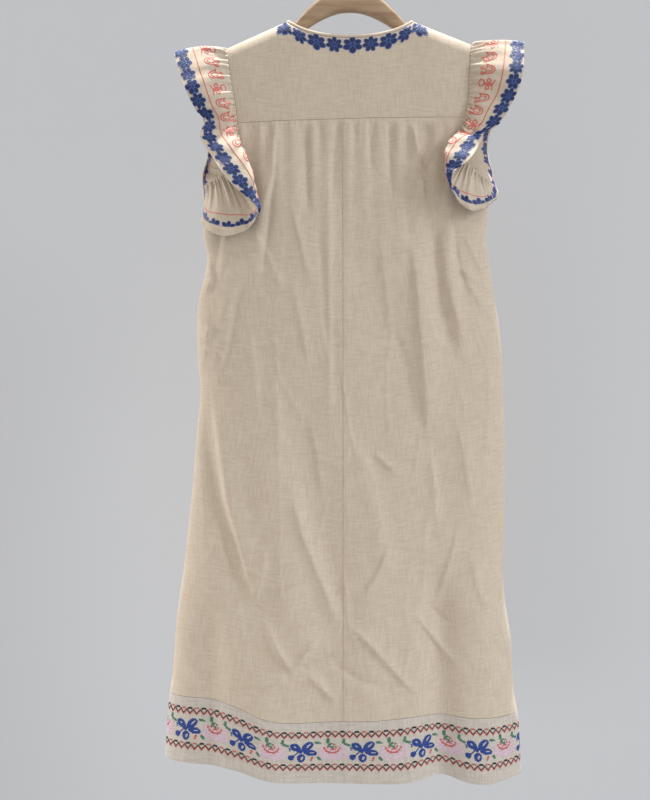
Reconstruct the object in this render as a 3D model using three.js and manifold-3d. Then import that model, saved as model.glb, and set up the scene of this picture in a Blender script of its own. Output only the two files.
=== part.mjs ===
// Gathered peasant dress hanging on a wooden hanger. Millimetres, +Z up.
// The dress's back, the side on show, faces -Y. The origin is the inside top of the hanger's hook.
import * as THREE from "three";
import Module from "manifold-3d";

const wasm = await Module();
wasm.setup();

// Cloth thicknesses and the gap that a seam leaves
const CLOTH_WALL = 1.6;
const RUFFLE_WALL = 1.2;
const BAND_WALL = 2.2;
const BAND_STANDS_OUT = 0.4;
const SEAM_GAP = 0.3;

// Heights of the main lines
const BAND_TOP_Z = -1151;
const HEM_Z = -1247;
const UNDERARM_LEFT_Z = -364;
const UNDERARM_RIGHT_Z = -358;
const YOKE_SEAM_LEFT_Z = -271;
const YOKE_SEAM_RIGHT_Z = -262;
const CENTRE_SEAM_X = -11;

// Shoulders and neckline
const TIP_LEFT = { x: -184.5, z: -156 };
const TIP_RIGHT = { x: 181.5, z: -150 };
const NECK_HALF_WIDTH = 96;
const NECK_POINT_Z = -116.5;
const BACK_NECK_DROP = 29;
const FRONT_NECK_DROP = 100;
const BACK_NECK_STAND = 18;
const FRONT_NECK_STAND = 23;
const NECK_STAND_POWER = 0.38;
const SHOULDER_ROUND = 16;
const NECK_CURVE_POWER = 2.4;
const NECK_CURVE_SOFTEN = 0.8;

// The rounding of a section through the dress, from flat side seam to full middle
const SECTION_POWER = 2.4;
const SECTION_SOFTEN = 0.55;

// Embroidered flower chains, raised cord on the cloth. Shares are between two rows of the cloth's
// points: a chain is widest at a flower and narrow between two.
const TRIM_LIFT = 0.5;
const TRIM_THICKNESS = 1.1;
const RUFFLE_TRIM_INNER = { flower: 0.04, between: 0.22 };
const RUFFLE_TRIM_OUTER = { flower: 0.98, between: 0.8 };
const NECK_TRIM_UPPER = { flower: 0.02, between: 0.3 };
const NECK_TRIM_LOWER = { flower: 0.95, between: 0.55 };

// The rise of the seam above the band and of the hem, from the right side seam to the left
const HEM_LIFT_FROM_Z = -900;
const HEM_LIFTS = [
  { across: 1, backSeam: 3, backHem: 8, frontSeam: 3, frontHem: 8 },
  { across: 0.76, backSeam: 4, backHem: 4, frontSeam: 1, frontHem: 3 },
  { across: 0.53, backSeam: 9, backHem: 17, frontSeam: 0, frontHem: 0 },
  { across: 0.42, backSeam: 10, backHem: 15, frontSeam: 0, frontHem: 0 },
  { across: 0.3, backSeam: 8, backHem: 12, frontSeam: 0, frontHem: 0 },
  { across: 0, backSeam: 5, backHem: 13, frontSeam: 0, frontHem: 0 },
  { across: -0.35, backSeam: 3, backHem: 14, frontSeam: 1, frontHem: 1 },
  { across: -0.48, backSeam: 10, backHem: 20, frontSeam: 3, frontHem: 3 },
  { across: -0.58, backSeam: 21, backHem: 27, frontSeam: 6, frontHem: 6 },
  { across: -0.72, backSeam: 30, backHem: 31, frontSeam: 13, frontHem: 13 },
  { across: -1, backSeam: 32, backHem: 32, frontSeam: 32, frontHem: 32 },
];

// Armhole edges, the same for the back and the front
const ARMHOLE_LEFT = [
  { z: -156, x: -184.5 },
  { z: -182, x: -181 },
  { z: -212, x: -176 },
  { z: -240, x: -171 },
  { z: -261, x: -168 },
  { z: -279, x: -167 },
  { z: -297, x: -168 },
  { z: -312, x: -171 },
  { z: -327, x: -175 },
  { z: -337, x: -181 },
  { z: -347, x: -189 },
  { z: -355, x: -198 },
  { z: -361, x: -208 },
  { z: -364, x: -216 },
];
const ARMHOLE_RIGHT = [
  { z: -150, x: 181.5 },
  { z: -176, x: 179 },
  { z: -200, x: 177 },
  { z: -222, x: 176 },
  { z: -243, x: 174 },
  { z: -261, x: 170 },
  { z: -276, x: 166 },
  { z: -288, x: 164 },
  { z: -300, x: 163 },
  { z: -312, x: 165 },
  { z: -322, x: 168 },
  { z: -331, x: 173 },
  { z: -341, x: 181 },
  { z: -349, x: 190 },
  { z: -355, x: 199 },
  { z: -358, x: 206 },
];

// The two side seams below the underarms, and the depth of the cloth behind and before them
const SIDES = [
  { z: -364, left: -216, right: 206 },
  { z: -405, left: -219, right: 206 },
  { z: -442, left: -219, right: 204 },
  { z: -472, left: -214, right: 208 },
  { z: -532, left: -226, right: 217 },
  { z: -562, left: -229, right: 222 },
  { z: -622, left: -228, right: 228 },
  { z: -667, left: -224, right: 229 },
  { z: -727, left: -229, right: 232 },
  { z: -802, left: -235, right: 232 },
  { z: -862, left: -241, right: 231 },
  { z: -937, left: -249, right: 229 },
  { z: -982, left: -255, right: 232 },
  { z: -1042, left: -261, right: 241 },
  { z: -1117, left: -265, right: 245 },
  { z: -1162, left: -271, right: 252 },
  { z: -1247, left: -277, right: 256 },
];
const DEPTHS = [
  { z: -112, back: 16, front: 17 },
  { z: -156, back: 19, front: 22 },
  { z: -200, back: 21, front: 26 },
  { z: -268, back: 24, front: 30 },
  { z: -362, back: 29, front: 35 },
  { z: -442, back: 34, front: 40 },
  { z: -532, back: 40, front: 46 },
  { z: -727, back: 46, front: 52 },
  { z: -937, back: 52, front: 57 },
  { z: -1117, back: 58, front: 62 },
  { z: -1247, back: 62, front: 66 },
];

// The back's largest folds: a line down the cloth, its height out of the cloth and its half width
const BACK_FOLDS = [
  { topX: -115, topZ: -275, midX: -130, midZ: -411, endX: -147, endZ: -536, height: 4, width: 12 },
  { topX: 91, topZ: -440, midX: 108, midZ: -620, endX: 116, endZ: -760, height: 6, width: 12 },
  { topX: 125, topZ: -400, midX: 133, midZ: -536, endX: 153, endZ: -630, height: -8, width: 13 },
  { topX: 146, topZ: -350, midX: 144, midZ: -480, endX: 170, endZ: -640, height: 6, width: 11 },
  { topX: -172, topZ: -470, midX: -190, midZ: -595, endX: -205, endZ: -690, height: 5, width: 14 },
  { topX: -203, topZ: -660, midX: -184, midZ: -800, endX: -160, endZ: -1030, height: 8, width: 13 },
  { topX: -222, topZ: -690, midX: -208, midZ: -820, endX: -188, endZ: -1030, height: -6, width: 11 },
  { topX: -92, topZ: -790, midX: -66, midZ: -890, endX: -10, endZ: -1040, height: 4, width: 13 },
  { topX: 8, topZ: -740, midX: 31, midZ: -830, endX: 60, endZ: -960, height: 3, width: 15 },
  { topX: 126, topZ: -900, midX: 131, midZ: -1040, endX: 138, endZ: -1400, height: -20, width: 26 },
  { topX: 196, topZ: -900, midX: 199, midZ: -1040, endX: 204, endZ: -1400, height: 4, width: 22 },
  { topX: -204, topZ: -960, midX: -206, midZ: -1060, endX: -210, endZ: -1400, height: -9, width: 20 },
  { topX: -128, topZ: -980, midX: -126, midZ: -1080, endX: -124, endZ: -1400, height: 5, width: 30 },
];
const FOLD_FADE = 0.22;

// Small gathers under the yoke, and the plain front's soft waves
const GATHER_PITCH = 26;
const GATHER_SHIFT = 5;
const GATHER_HEIGHT = 2.2;
const GATHER_RISE_LENGTH = 22;
const GATHER_FADE_LENGTH = 81;
const FRONT_WAVE_PITCH = 96;
const FRONT_WAVE_SHIFT = -14;
const FRONT_WAVE_HEIGHT = 6;
const FRONT_WAVE_RISE_LENGTH = 500;

// How far across the cloth each column of points stands, from one side seam to the other
const NECK_ENDS_AT = { left: -0.5246, right: 0.5332 };
const BACK_COLUMNS = [-1, -0.985, -0.94, -0.88];
const BACK_MIDDLE_COLUMNS = 30;
const FRONT_LEFT_COLUMNS = [-1, -0.985, -0.94, -0.84, -0.68, NECK_ENDS_AT.left];
const FRONT_RIGHT_COLUMNS = [NECK_ENDS_AT.right, 0.69, 0.85, 0.945, 0.985, 1];
const NECK_COLUMNS_FRONT = 12;
const NECK_COLUMNS_BACK = 20;
const SHOULDER_COLUMNS_LEFT = [-1, -0.97, -0.9, -0.8, -0.66, NECK_ENDS_AT.left];
const SHOULDER_COLUMNS_RIGHT = [NECK_ENDS_AT.right, 0.67, 0.8, 0.9, 0.97, 1];

// Rows of points: from the neck edge down the first are at fixed distances, the others at heights
const EDGE_ROWS = [0, 5, 14, 24];
const YOKE_LOWER_ROWS = [0.3, 0.65, 1];
const ARM_ROWS = [0, 0.22, 0.46, 0.66, 0.78, 0.87, 0.94, 0.98, 1];
const BACK_LOWER_ROWS = [-400, -450, -532, -620, -720, -840, -950, -1050, BAND_TOP_Z];
const FRONT_LOWER_ROWS = [-400, -450, -532, -640, -760, -880, -1010, BAND_TOP_Z];
const BAND_ROWS = [BAND_TOP_Z - SEAM_GAP, -1199, HEM_Z];

// Armhole ruffles: the armhole height that each station is sewn at, on the back or the front,
// the ruffle's middle and its outer edge. Stations run down the back and up the front.
const RUFFLE_LEFT = [
  { sewnZ: -156, face: "back", mid: [-225, 0, -152], edge: [-264, 2, -161] },
  { sewnZ: -182, face: "back", mid: [-214, -20, -185], edge: [-254, -20, -193] },
  { sewnZ: -212, face: "back", mid: [-204, -28, -217], edge: [-242, -32, -227] },
  { sewnZ: -240, face: "back", mid: [-195, -30, -247], edge: [-228, -26, -255] },
  { sewnZ: -261, face: "back", mid: [-187, -26, -266], edge: [-216, -15, -268] },
  { sewnZ: -279, face: "back", mid: [-180, -34, -291], edge: [-222, -26, -293] },
  { sewnZ: -297, face: "back", mid: [-163, -46, -318], edge: [-202, -48, -328] },
  { sewnZ: -312, face: "back", mid: [-146, -46, -345], edge: [-177, -60, -365] },
  { sewnZ: -327, face: "back", mid: [-139, -44, -372], edge: [-152, -57, -389] },
  { sewnZ: -335, face: "back", mid: [-138, -45, -390], edge: [-136, -57, -402] },
  { sewnZ: -341, face: "back", mid: [-150, -36, -400], edge: [-138, -48, -421] },
  { sewnZ: -347, face: "back", mid: [-167, -34, -399], edge: [-160, -38, -437] },
  { sewnZ: -355, face: "back", mid: [-189, -31, -397], edge: [-191, -39, -442] },
  { sewnZ: -361, face: "back", mid: [-215, -19, -394], edge: [-221, -25, -426] },
  { sewnZ: -364, face: "back", mid: [-225, 2, -380], edge: [-234, 8, -389] },
  { sewnZ: -356, face: "front", mid: [-224, 24, -347], edge: [-233, 32, -330] },
  { sewnZ: -334, face: "front", mid: [-213, 36, -318], edge: [-224, 44, -298] },
  { sewnZ: -300, face: "front", mid: [-199, 36, -292], edge: [-223, 44, -275] },
  { sewnZ: -264, face: "front", mid: [-203, 30, -257], edge: [-224, 32, -250] },
  { sewnZ: -223, face: "front", mid: [-207, 28, -215], edge: [-239, 34, -216] },
  { sewnZ: -185, face: "front", mid: [-218, 18, -179], edge: [-255, 22, -184] },
];
const RUFFLE_RIGHT = [
  { sewnZ: -150, face: "back", mid: [222, 0, -144], edge: [261, 2, -147] },
  { sewnZ: -176, face: "back", mid: [217, -18, -176], edge: [257, -18, -179] },
  { sewnZ: -200, face: "back", mid: [212, -26, -205], edge: [252, -28, -210] },
  { sewnZ: -222, face: "back", mid: [207, -22, -228], edge: [243, -25, -235] },
  { sewnZ: -243, face: "back", mid: [194, -27, -253], edge: [230, -26, -259] },
  { sewnZ: -261, face: "back", mid: [185, -29, -274], edge: [218, -19, -276] },
  { sewnZ: -276, face: "back", mid: [173, -28, -289], edge: [201, -14, -284] },
  { sewnZ: -288, face: "back", mid: [150, -42, -302], edge: [190, -34, -305] },
  { sewnZ: -300, face: "back", mid: [138, -48, -322], edge: [172, -54, -334] },
  { sewnZ: -312, face: "back", mid: [137, -48, -341], edge: [152, -61, -350] },
  { sewnZ: -322, face: "back", mid: [141, -46, -354], edge: [145, -59, -359] },
  { sewnZ: -327, face: "back", mid: [151, -39, -362], edge: [146, -51, -377] },
  { sewnZ: -331, face: "back", mid: [162, -36, -367], edge: [157, -42, -393] },
  { sewnZ: -341, face: "back", mid: [175, -34, -372], edge: [176, -40, -406] },
  { sewnZ: -349, face: "back", mid: [193, -27, -376], edge: [197, -34, -401] },
  { sewnZ: -355, face: "back", mid: [207, -15, -375], edge: [211, -20, -388] },
  { sewnZ: -358, face: "back", mid: [214, 2, -370], edge: [221, 6, -378] },
  { sewnZ: -350, face: "front", mid: [214, 22, -350], edge: [224, 28, -362] },
  { sewnZ: -331, face: "front", mid: [208, 34, -327], edge: [220, 42, -340] },
  { sewnZ: -300, face: "front", mid: [200, 36, -294], edge: [213, 44, -290] },
  { sewnZ: -258, face: "front", mid: [203, 30, -251], edge: [224, 32, -252] },
  { sewnZ: -220, face: "front", mid: [213, 28, -215], edge: [246, 34, -218] },
  { sewnZ: -182, face: "front", mid: [220, 18, -175], edge: [257, 22, -180] },
];
const RUFFLE_COLUMNS = 90;
const RUFFLE_ROWS = [0, 0.13, 0.38, 0.66, 0.95, 1];
const RUFFLE_GATHERS = 30;
const RUFFLE_GATHER_HEIGHT = 1.1;
const RUFFLE_GATHER_WIDTH = 0.28;
const RUFFLE_SEAM_AWAY = { upper: 0.9, lower: 2.6 };
const RUFFLE_SEAM_OUT = { upper: 0.6, lower: 1.7 };
const RUFFLE_LOW_FROM_Z = -285;
const RUFFLE_LOW_OVER = 30;
const ARMHOLE_FULL_HALF = 18;
const ARMHOLE_MIDDLE = { x: 205, z: -270 };
const ARMHOLE_TURNS_FROM_Z = -250;
const ARMHOLE_TURNS_OVER = 60;

// Wooden hanger: its upper and lower edge and its thickness at distances from the middle
const HANGER_SECTIONS = [
  { x: 0, top: -62, bottom: -101, thickness: 18 },
  { x: 14, top: -63, bottom: -102, thickness: 18 },
  { x: 28, top: -68, bottom: -106, thickness: 18 },
  { x: 42, top: -78, bottom: -112, thickness: 18 },
  { x: 56, top: -90, bottom: -120, thickness: 17 },
  { x: 70, top: -104, bottom: -130, thickness: 16 },
  { x: 82, top: -118, bottom: -139, thickness: 14 },
  { x: 94, top: -130, bottom: -148, thickness: 14 },
  { x: 112, top: -140, bottom: -157, thickness: 14 },
  { x: 136, top: -152, bottom: -169, thickness: 14 },
  { x: 158, top: -164, bottom: -179, thickness: 13 },
  { x: 167, top: -170, bottom: -179, thickness: 9 },
];
const HANGER_CORNER_SHARE = 0.28;

// Wire hook, which starts inside the hanger's hump
const HOOK_WIRE_RADIUS = 2;
const HOOK_BORE_RADIUS = 2.6;
const HOOK_BORE_BOTTOM_Z = -80;
const HOOK_BORE_LENGTH = 60;
const HOOK_BORE_SIDES = 12;
const HOOK_PATH = [
  { x: 0, z: -79 },
  { x: 0, z: -70 },
  { x: 0, z: -61 },
  { x: 4, z: -50 },
  { x: 16, z: -37 },
  { x: 22, z: -20 },
  { x: 15.6, z: -4.4 },
  { x: 0, z: 2 },
  { x: -15.6, z: -4.4 },
  { x: -22, z: -20 },
  { x: -18, z: -33 },
];
const HOOK_STEPS = 26;
const HOOK_SIDES = 5;

// Bias binding that stands on the neck edge: across is through the cloth, up is along it
const BINDING_LEAN = 0.8;
const BINDING_SECTION = [
  { across: -1.4, up: SEAM_GAP },
  { across: 1.4, up: SEAM_GAP },
  { across: 1.6, up: 2.6 },
  { across: 0.8, up: 4.6 },
  { across: -0.8, up: 4.6 },
  { across: -1.6, up: 2.6 },
];

const COLOURS = {
  cloth: 0xd9c8ac,
  band: 0xddd2c6,
  flowers: 0x28468f,
  wood: 0xb08f6e,
  steel: 0xb9bcc0,
};

function mix(a, b, k) {
  return a + (b - a) * k;
}

function smooth(k) {
  const c = Math.min(1, Math.max(0, k));
  return c * c * (3 - 2 * c);
}

// A smooth value between the rows of a table sorted by falling z
function along(table, key, z, by = "z") {
  const last = table.length - 1;
  if (z >= table[0][by]) return table[0][key];
  if (z <= table[last][by]) return table[last][key];
  let i = 0;
  while (table[i + 1][by] > z) i += 1;
  const a = table[i];
  const b = table[i + 1];
  const before = table[Math.max(0, i - 1)];
  const after = table[Math.min(last, i + 2)];
  const span = b[by] - a[by];
  const k = (z - a[by]) / span;
  const slopeA = ((b[key] - before[key]) / (b[by] - before[by])) * span;
  const slopeB = ((after[key] - a[key]) / (after[by] - a[by])) * span;
  const kk = k * k;
  const kkk = kk * k;
  return (
    (2 * kkk - 3 * kk + 1) * a[key] +
    (kkk - 2 * kk + k) * slopeA +
    (3 * kk - 2 * kkk) * b[key] +
    (kkk - kk) * slopeB
  );
}

function leftX(z) {
  return z > UNDERARM_LEFT_Z ? along(ARMHOLE_LEFT, "x", z) : along(SIDES, "left", z);
}

function rightX(z) {
  return z > UNDERARM_RIGHT_Z ? along(ARMHOLE_RIGHT, "x", z) : along(SIDES, "right", z);
}

// The section's own two ends: the side seams, or above the underarms where they would run on to
function sectionEnds(leftEndZ, rightEndZ) {
  const left = along(SIDES, "left", leftEndZ);
  const right = along(SIDES, "right", rightEndZ);
  return { left, right };
}

// How full the section is at a place across it: 0 at the side seams and 1 in the middle
function fullness(across) {
  return Math.pow(1 - Math.pow(Math.min(1, Math.abs(across)), SECTION_POWER), SECTION_SOFTEN);
}

function foldHeight(folds, x, z) {
  let sum = 0;
  for (const fold of folds) {
    if (z > fold.topZ || z < fold.endZ) continue;
    const upper = z > fold.midZ;
    const k = upper
      ? (z - fold.topZ) / (fold.midZ - fold.topZ)
      : (z - fold.midZ) / (fold.endZ - fold.midZ);
    const lineX = upper ? mix(fold.topX, fold.midX, k) : mix(fold.midX, fold.endX, k);
    const down = (z - fold.topZ) / (fold.endZ - fold.topZ);
    const fade = smooth(down / FOLD_FADE) * smooth((1 - down) / FOLD_FADE);
    const off = (x - lineX) / fold.width;
    sum += fold.height * fade * Math.exp(-off * off);
  }
  return sum;
}

function backFolds(x, z) {
  const seamZ = mix(YOKE_SEAM_LEFT_Z, YOKE_SEAM_RIGHT_Z, 0.5);
  const below = Math.max(0, seamZ - z);
  const gather = smooth(below / GATHER_RISE_LENGTH) * Math.exp(-below / GATHER_FADE_LENGTH);
  const wave = Math.cos((2 * Math.PI * (x + GATHER_SHIFT)) / GATHER_PITCH);
  return foldHeight(BACK_FOLDS, x, z) + GATHER_HEIGHT * gather * wave;
}

function frontFolds(x, z) {
  const ramp = smooth((UNDERARM_LEFT_Z - z) / FRONT_WAVE_RISE_LENGTH);
  return FRONT_WAVE_HEIGHT * ramp * Math.cos((2 * Math.PI * (x + FRONT_WAVE_SHIFT)) / FRONT_WAVE_PITCH);
}

function hemLift(face, across, z) {
  const ramp = smooth((HEM_LIFT_FROM_Z - z) / (HEM_LIFT_FROM_Z - BAND_TOP_Z));
  const seam = along(HEM_LIFTS, face + "Seam", across, "across");
  const hem = along(HEM_LIFTS, face + "Hem", across, "across");
  const down = Math.max(0, (BAND_TOP_Z - z) / (BAND_TOP_Z - HEM_Z));
  return ramp * mix(seam, hem, down);
}

// How far the cloth stands from the shoulder plane at a place of the section
function halfDepth(face, x, z, leftEndZ, rightEndZ) {
  const { left, right } = sectionEnds(leftEndZ, rightEndZ);
  const place = ((x - left) / (right - left)) * 2 - 1;
  const full = fullness(place);
  const folds = face === "back" ? backFolds(x, z) : frontFolds(x, z);
  return Math.max(SEAM_GAP / 2, (along(DEPTHS, face, z) + folds) * full);
}

// A point on the outside of the back or the front, at heights that its two ends give
function clothPoint(face, across, leftEndZ, rightEndZ, z) {
  const x = mix(leftX(leftEndZ), rightX(rightEndZ), (across + 1) / 2);
  const half = halfDepth(face, x, z, leftEndZ, rightEndZ);
  const y = face === "back" ? -half : half;
  return new THREE.Vector3(x, y, z + hemLift(face, across, z));
}

function shoulderZ(x) {
  if (x < 0) return mix(NECK_POINT_Z, TIP_LEFT.z, (-x - NECK_HALF_WIDTH) / (-TIP_LEFT.x - NECK_HALF_WIDTH));
  return mix(NECK_POINT_Z, TIP_RIGHT.z, (x - NECK_HALF_WIDTH) / (TIP_RIGHT.x - NECK_HALF_WIDTH));
}

function neckShare(x) {
  const out = Math.min(1, Math.abs(x) / NECK_HALF_WIDTH);
  return Math.pow(1 - Math.pow(out, NECK_CURVE_POWER), NECK_CURVE_SOFTEN);
}

function topZ(face, x) {
  if (Math.abs(x) >= NECK_HALF_WIDTH) return shoulderZ(x);
  const drop = face === "back" ? BACK_NECK_DROP : FRONT_NECK_DROP;
  return NECK_POINT_Z - drop * neckShare(x);
}

// A point on the upper cloth, a distance below the neck and shoulder edge
function upperPoint(face, across, below, rowShare) {
  const topX = mix(TIP_LEFT.x, TIP_RIGHT.x, (across + 1) / 2);
  const edgeZ = topZ(face, topX);
  const leftEndZ = mix(TIP_LEFT.z - below, YOKE_SEAM_LEFT_Z, rowShare);
  const rightEndZ = mix(TIP_RIGHT.z - below, YOKE_SEAM_RIGHT_Z, rowShare);
  const lowerZ = mix(YOKE_SEAM_LEFT_Z, YOKE_SEAM_RIGHT_Z, (across + 1) / 2);
  const z = mix(edgeZ - below, lowerZ, rowShare);
  const point = clothPoint(face, across, leftEndZ, rightEndZ, z);
  const neckStand = face === "back" ? BACK_NECK_STAND : FRONT_NECK_STAND;
  const stand = neckStand * Math.pow(neckShare(topX), NECK_STAND_POWER);
  const half = Math.max(SEAM_GAP / 2, mix(stand, Math.abs(point.y), roundedOver(edgeZ - z)));
  point.y = face === "back" ? -half : half;
  return point;
}

// Unit normals of a grid of points, on the side that sign gives
function gridNormals(grid, sign, closed) {
  const rows = grid.length;
  return grid.map((row, i) =>
    row.map((point, j) => {
      const count = row.length;
      const nextJ = closed ? (j + 1) % count : Math.min(count - 1, j + 1);
      const lastJ = closed ? (j - 1 + count) % count : Math.max(0, j - 1);
      const acrossWay = row[nextJ].clone().sub(row[lastJ]);
      const upRow = grid[Math.max(0, i - 1)][j];
      const downRow = grid[Math.min(rows - 1, i + 1)][j];
      const downWay = downRow.clone().sub(upRow);
      return acrossWay.cross(downWay).normalize().multiplyScalar(sign);
    }),
  );
}

function moved(grid, normals, distance) {
  return grid.map((row, i) => row.map((p, j) => p.clone().addScaledVector(normals[i][j], distance)));
}

function signedVolume(triangles) {
  let sum = 0;
  for (const [a, b, c] of triangles) sum += a.dot(b.clone().cross(c));
  return sum / 6;
}

function geometryOf(triangles) {
  const outward = signedVolume(triangles) > 0;
  const places = [];
  for (const [a, b, c] of triangles) {
    for (const p of outward ? [a, b, c] : [a, c, b]) places.push(p.x, p.y, p.z);
  }
  const geometry = new THREE.BufferGeometry();
  geometry.setAttribute("position", new THREE.Float32BufferAttribute(places, 3));
  geometry.computeVertexNormals();
  return geometry;
}

// A closed wall between two grids of points with the same rows and columns
function wallBetween(outer, inner, closed) {
  const triangles = [];
  const quad = (a, b, c, d) => triangles.push([a, b, c], [a, c, d]);
  const rows = outer.length;
  const count = outer[0].length;
  const spans = closed ? count : count - 1;
  for (let i = 0; i < rows - 1; i += 1) {
    for (let j = 0; j < spans; j += 1) {
      const n = (j + 1) % count;
      quad(outer[i][j], outer[i][n], outer[i + 1][n], outer[i + 1][j]);
      quad(inner[i][j], inner[i + 1][j], inner[i + 1][n], inner[i][n]);
    }
    if (!closed) {
      const e = count - 1;
      quad(outer[i][0], outer[i + 1][0], inner[i + 1][0], inner[i][0]);
      quad(outer[i][e], inner[i][e], inner[i + 1][e], outer[i + 1][e]);
    }
  }
  const last = rows - 1;
  for (let j = 0; j < spans; j += 1) {
    const n = (j + 1) % count;
    quad(outer[0][j], inner[0][j], inner[0][n], outer[0][n]);
    quad(outer[last][j], outer[last][n], inner[last][n], inner[last][j]);
  }
  return geometryOf(triangles);
}

// A panel's wall goes inward from its outside. Where its edge lies on a side or shoulder seam, the
// wall's edge stays flat there, so that it keeps off the other panel.
function panelInside(grid, sign, thickness, keptEnds, centreEnd) {
  const inner = moved(grid, gridNormals(grid, sign, false), -thickness);
  for (let j = 0; j < grid[0].length; j += 1) {
    const top = grid[0][j];
    if (Math.abs(top.y) < SEAM_GAP) inner[0][j].set(top.x, top.y, top.z - thickness);
  }
  for (let i = 0; i < grid.length; i += 1) {
    for (const end of keptEnds) {
      const j = end === "left" ? 0 : grid[i].length - 1;
      const inward = end === "left" ? thickness : -thickness;
      if (Math.abs(grid[i][j].y) < SEAM_GAP) {
        inner[i][j].set(grid[i][j].x + inward, grid[i][j].y, grid[i][j].z);
      }
    }
    if (centreEnd !== null) inner[i][centreEnd].x = grid[i][centreEnd].x;
  }
  return inner;
}

function columnsBetween(from, to, count) {
  return Array.from({ length: count + 1 }, (_, k) => mix(from, to, k / count));
}

// Columns that stand closer towards both ends, where the neck edge turns down steeply
function neckColumns(from, to, count) {
  const shares = Array.from({ length: count + 1 }, (_, k) => (1 - Math.cos((Math.PI * k) / count)) / 2);
  return shares.map((share) => mix(from, to, share));
}

const backColumns = [
  ...BACK_COLUMNS.slice(0, -1),
  ...columnsBetween(BACK_COLUMNS[3], -BACK_COLUMNS[3], BACK_MIDDLE_COLUMNS),
  ...BACK_COLUMNS.slice(0, -1).map((c) => -c).reverse(),
];

function acrossOfX(x, leftEndZ, rightEndZ) {
  const left = leftX(leftEndZ);
  const right = rightX(rightEndZ);
  return ((x - left) / (right - left)) * 2 - 1;
}

// Rows of a skirt panel: the heights of each row's left and right end
function skirtRows(lowerRows) {
  const arm = ARM_ROWS.map((share) => ({
    left: mix(YOKE_SEAM_LEFT_Z - SEAM_GAP, UNDERARM_LEFT_Z, share),
    right: mix(YOKE_SEAM_RIGHT_Z - SEAM_GAP, UNDERARM_RIGHT_Z, share),
  }));
  return [...arm, ...lowerRows.map((z) => ({ left: z, right: z }))];
}

function skirtPoint(face, across, row) {
  return clothPoint(face, across, row.left, row.right, mix(row.left, row.right, (across + 1) / 2));
}

// Half of the back, from the yoke seam to the band and from the centre seam to its side
function backHalfGrid(side) {
  const middle = (backColumns.length - 1) / 2;
  return skirtRows(BACK_LOWER_ROWS).map((row) => {
    const seamX = CENTRE_SEAM_X + (side === "left" ? -SEAM_GAP / 2 : SEAM_GAP / 2);
    const seam = acrossOfX(seamX, row.left, row.right);
    const half = side === "left" ? backColumns.slice(0, middle + 1) : backColumns.slice(middle);
    const columns = half.map((c) => (side === "left" ? mix(-1, seam, c + 1) : mix(seam, 1, c)));
    return columns.map((across) => skirtPoint("back", across, row));
  });
}

const backYokeColumns = [
  ...SHOULDER_COLUMNS_LEFT,
  ...neckColumns(NECK_ENDS_AT.left, NECK_ENDS_AT.right, NECK_COLUMNS_BACK).slice(1, -1),
  ...SHOULDER_COLUMNS_RIGHT,
];
const frontColumns = [
  ...FRONT_LEFT_COLUMNS,
  ...neckColumns(NECK_ENDS_AT.left, NECK_ENDS_AT.right, NECK_COLUMNS_FRONT).slice(1, -1),
  ...FRONT_RIGHT_COLUMNS,
];

function yokeGrid(face, columns) {
  const edgeRows = EDGE_ROWS.map((below) => ({ below, share: 0 }));
  const lowerRows = YOKE_LOWER_ROWS.map((share) => ({ below: EDGE_ROWS[3], share }));
  return [...edgeRows, ...lowerRows].map((row) =>
    columns.map((across) => upperPoint(face, across, row.below, row.share)),
  );
}

function frontSkirtGrid() {
  return skirtRows(FRONT_LOWER_ROWS).map((row) =>
    frontColumns.map((across) => skirtPoint("front", across, row)),
  );
}

function bandGrid(face, columns) {
  const sign = face === "back" ? -1 : 1;
  const grid = BAND_ROWS.map((z) => columns.map((across) => clothPoint(face, across, z, z, z)));
  const out = moved(grid, gridNormals(grid, sign, false), BAND_STANDS_OUT);
  for (const row of out) {
    for (const end of [row[0], row[row.length - 1]]) end.y = (sign * SEAM_GAP) / 2;
  }
  return out;
}

const BACK_SIGN = -1;
const FRONT_SIGN = 1;

const backLeft = backHalfGrid("left");
const backRight = backHalfGrid("right");
const backYoke = yokeGrid("back", backYokeColumns);
const frontYoke = yokeGrid("front", frontColumns);
const frontSkirt = frontSkirtGrid();
const bandBack = bandGrid("back", backColumns);
const bandFront = bandGrid("front", frontColumns);

function roundedOver(depth) {
  if (depth >= SHOULDER_ROUND) return 1;
  const left = 1 - Math.max(0, depth) / SHOULDER_ROUND;
  return Math.sqrt(1 - left * left);
}

// Armhole edge of the cloth, outside, at a height on the back or the front
function armholeEdge(side, face, z) {
  const table = side === "left" ? ARMHOLE_LEFT : ARMHOLE_RIGHT;
  const x = along(table, "x", z);
  const half = Math.max(SEAM_GAP / 2, halfDepth(face, x, z, z, z) * roundedOver(table[0].z - z));
  return new THREE.Vector3(x, face === "back" ? -half : half, z);
}

function loopValue(list, place) {
  const count = list.length;
  const i = Math.floor(place);
  const k = place - i;
  const at = (n) => list[((n % count) + count) % count];
  const [a, b, c, d] = [at(i - 1), at(i), at(i + 1), at(i + 2)];
  return a.map((_, n) => {
    const slopeB = (c[n] - a[n]) / 2;
    const slopeC = (d[n] - b[n]) / 2;
    const kk = k * k;
    const kkk = kk * k;
    return (
      (2 * kkk - 3 * kk + 1) * b[n] +
      (kkk - 2 * kk + k) * slopeB +
      (3 * kk - 2 * kkk) * c[n] +
      (kkk - kk) * slopeC
    );
  });
}

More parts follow.
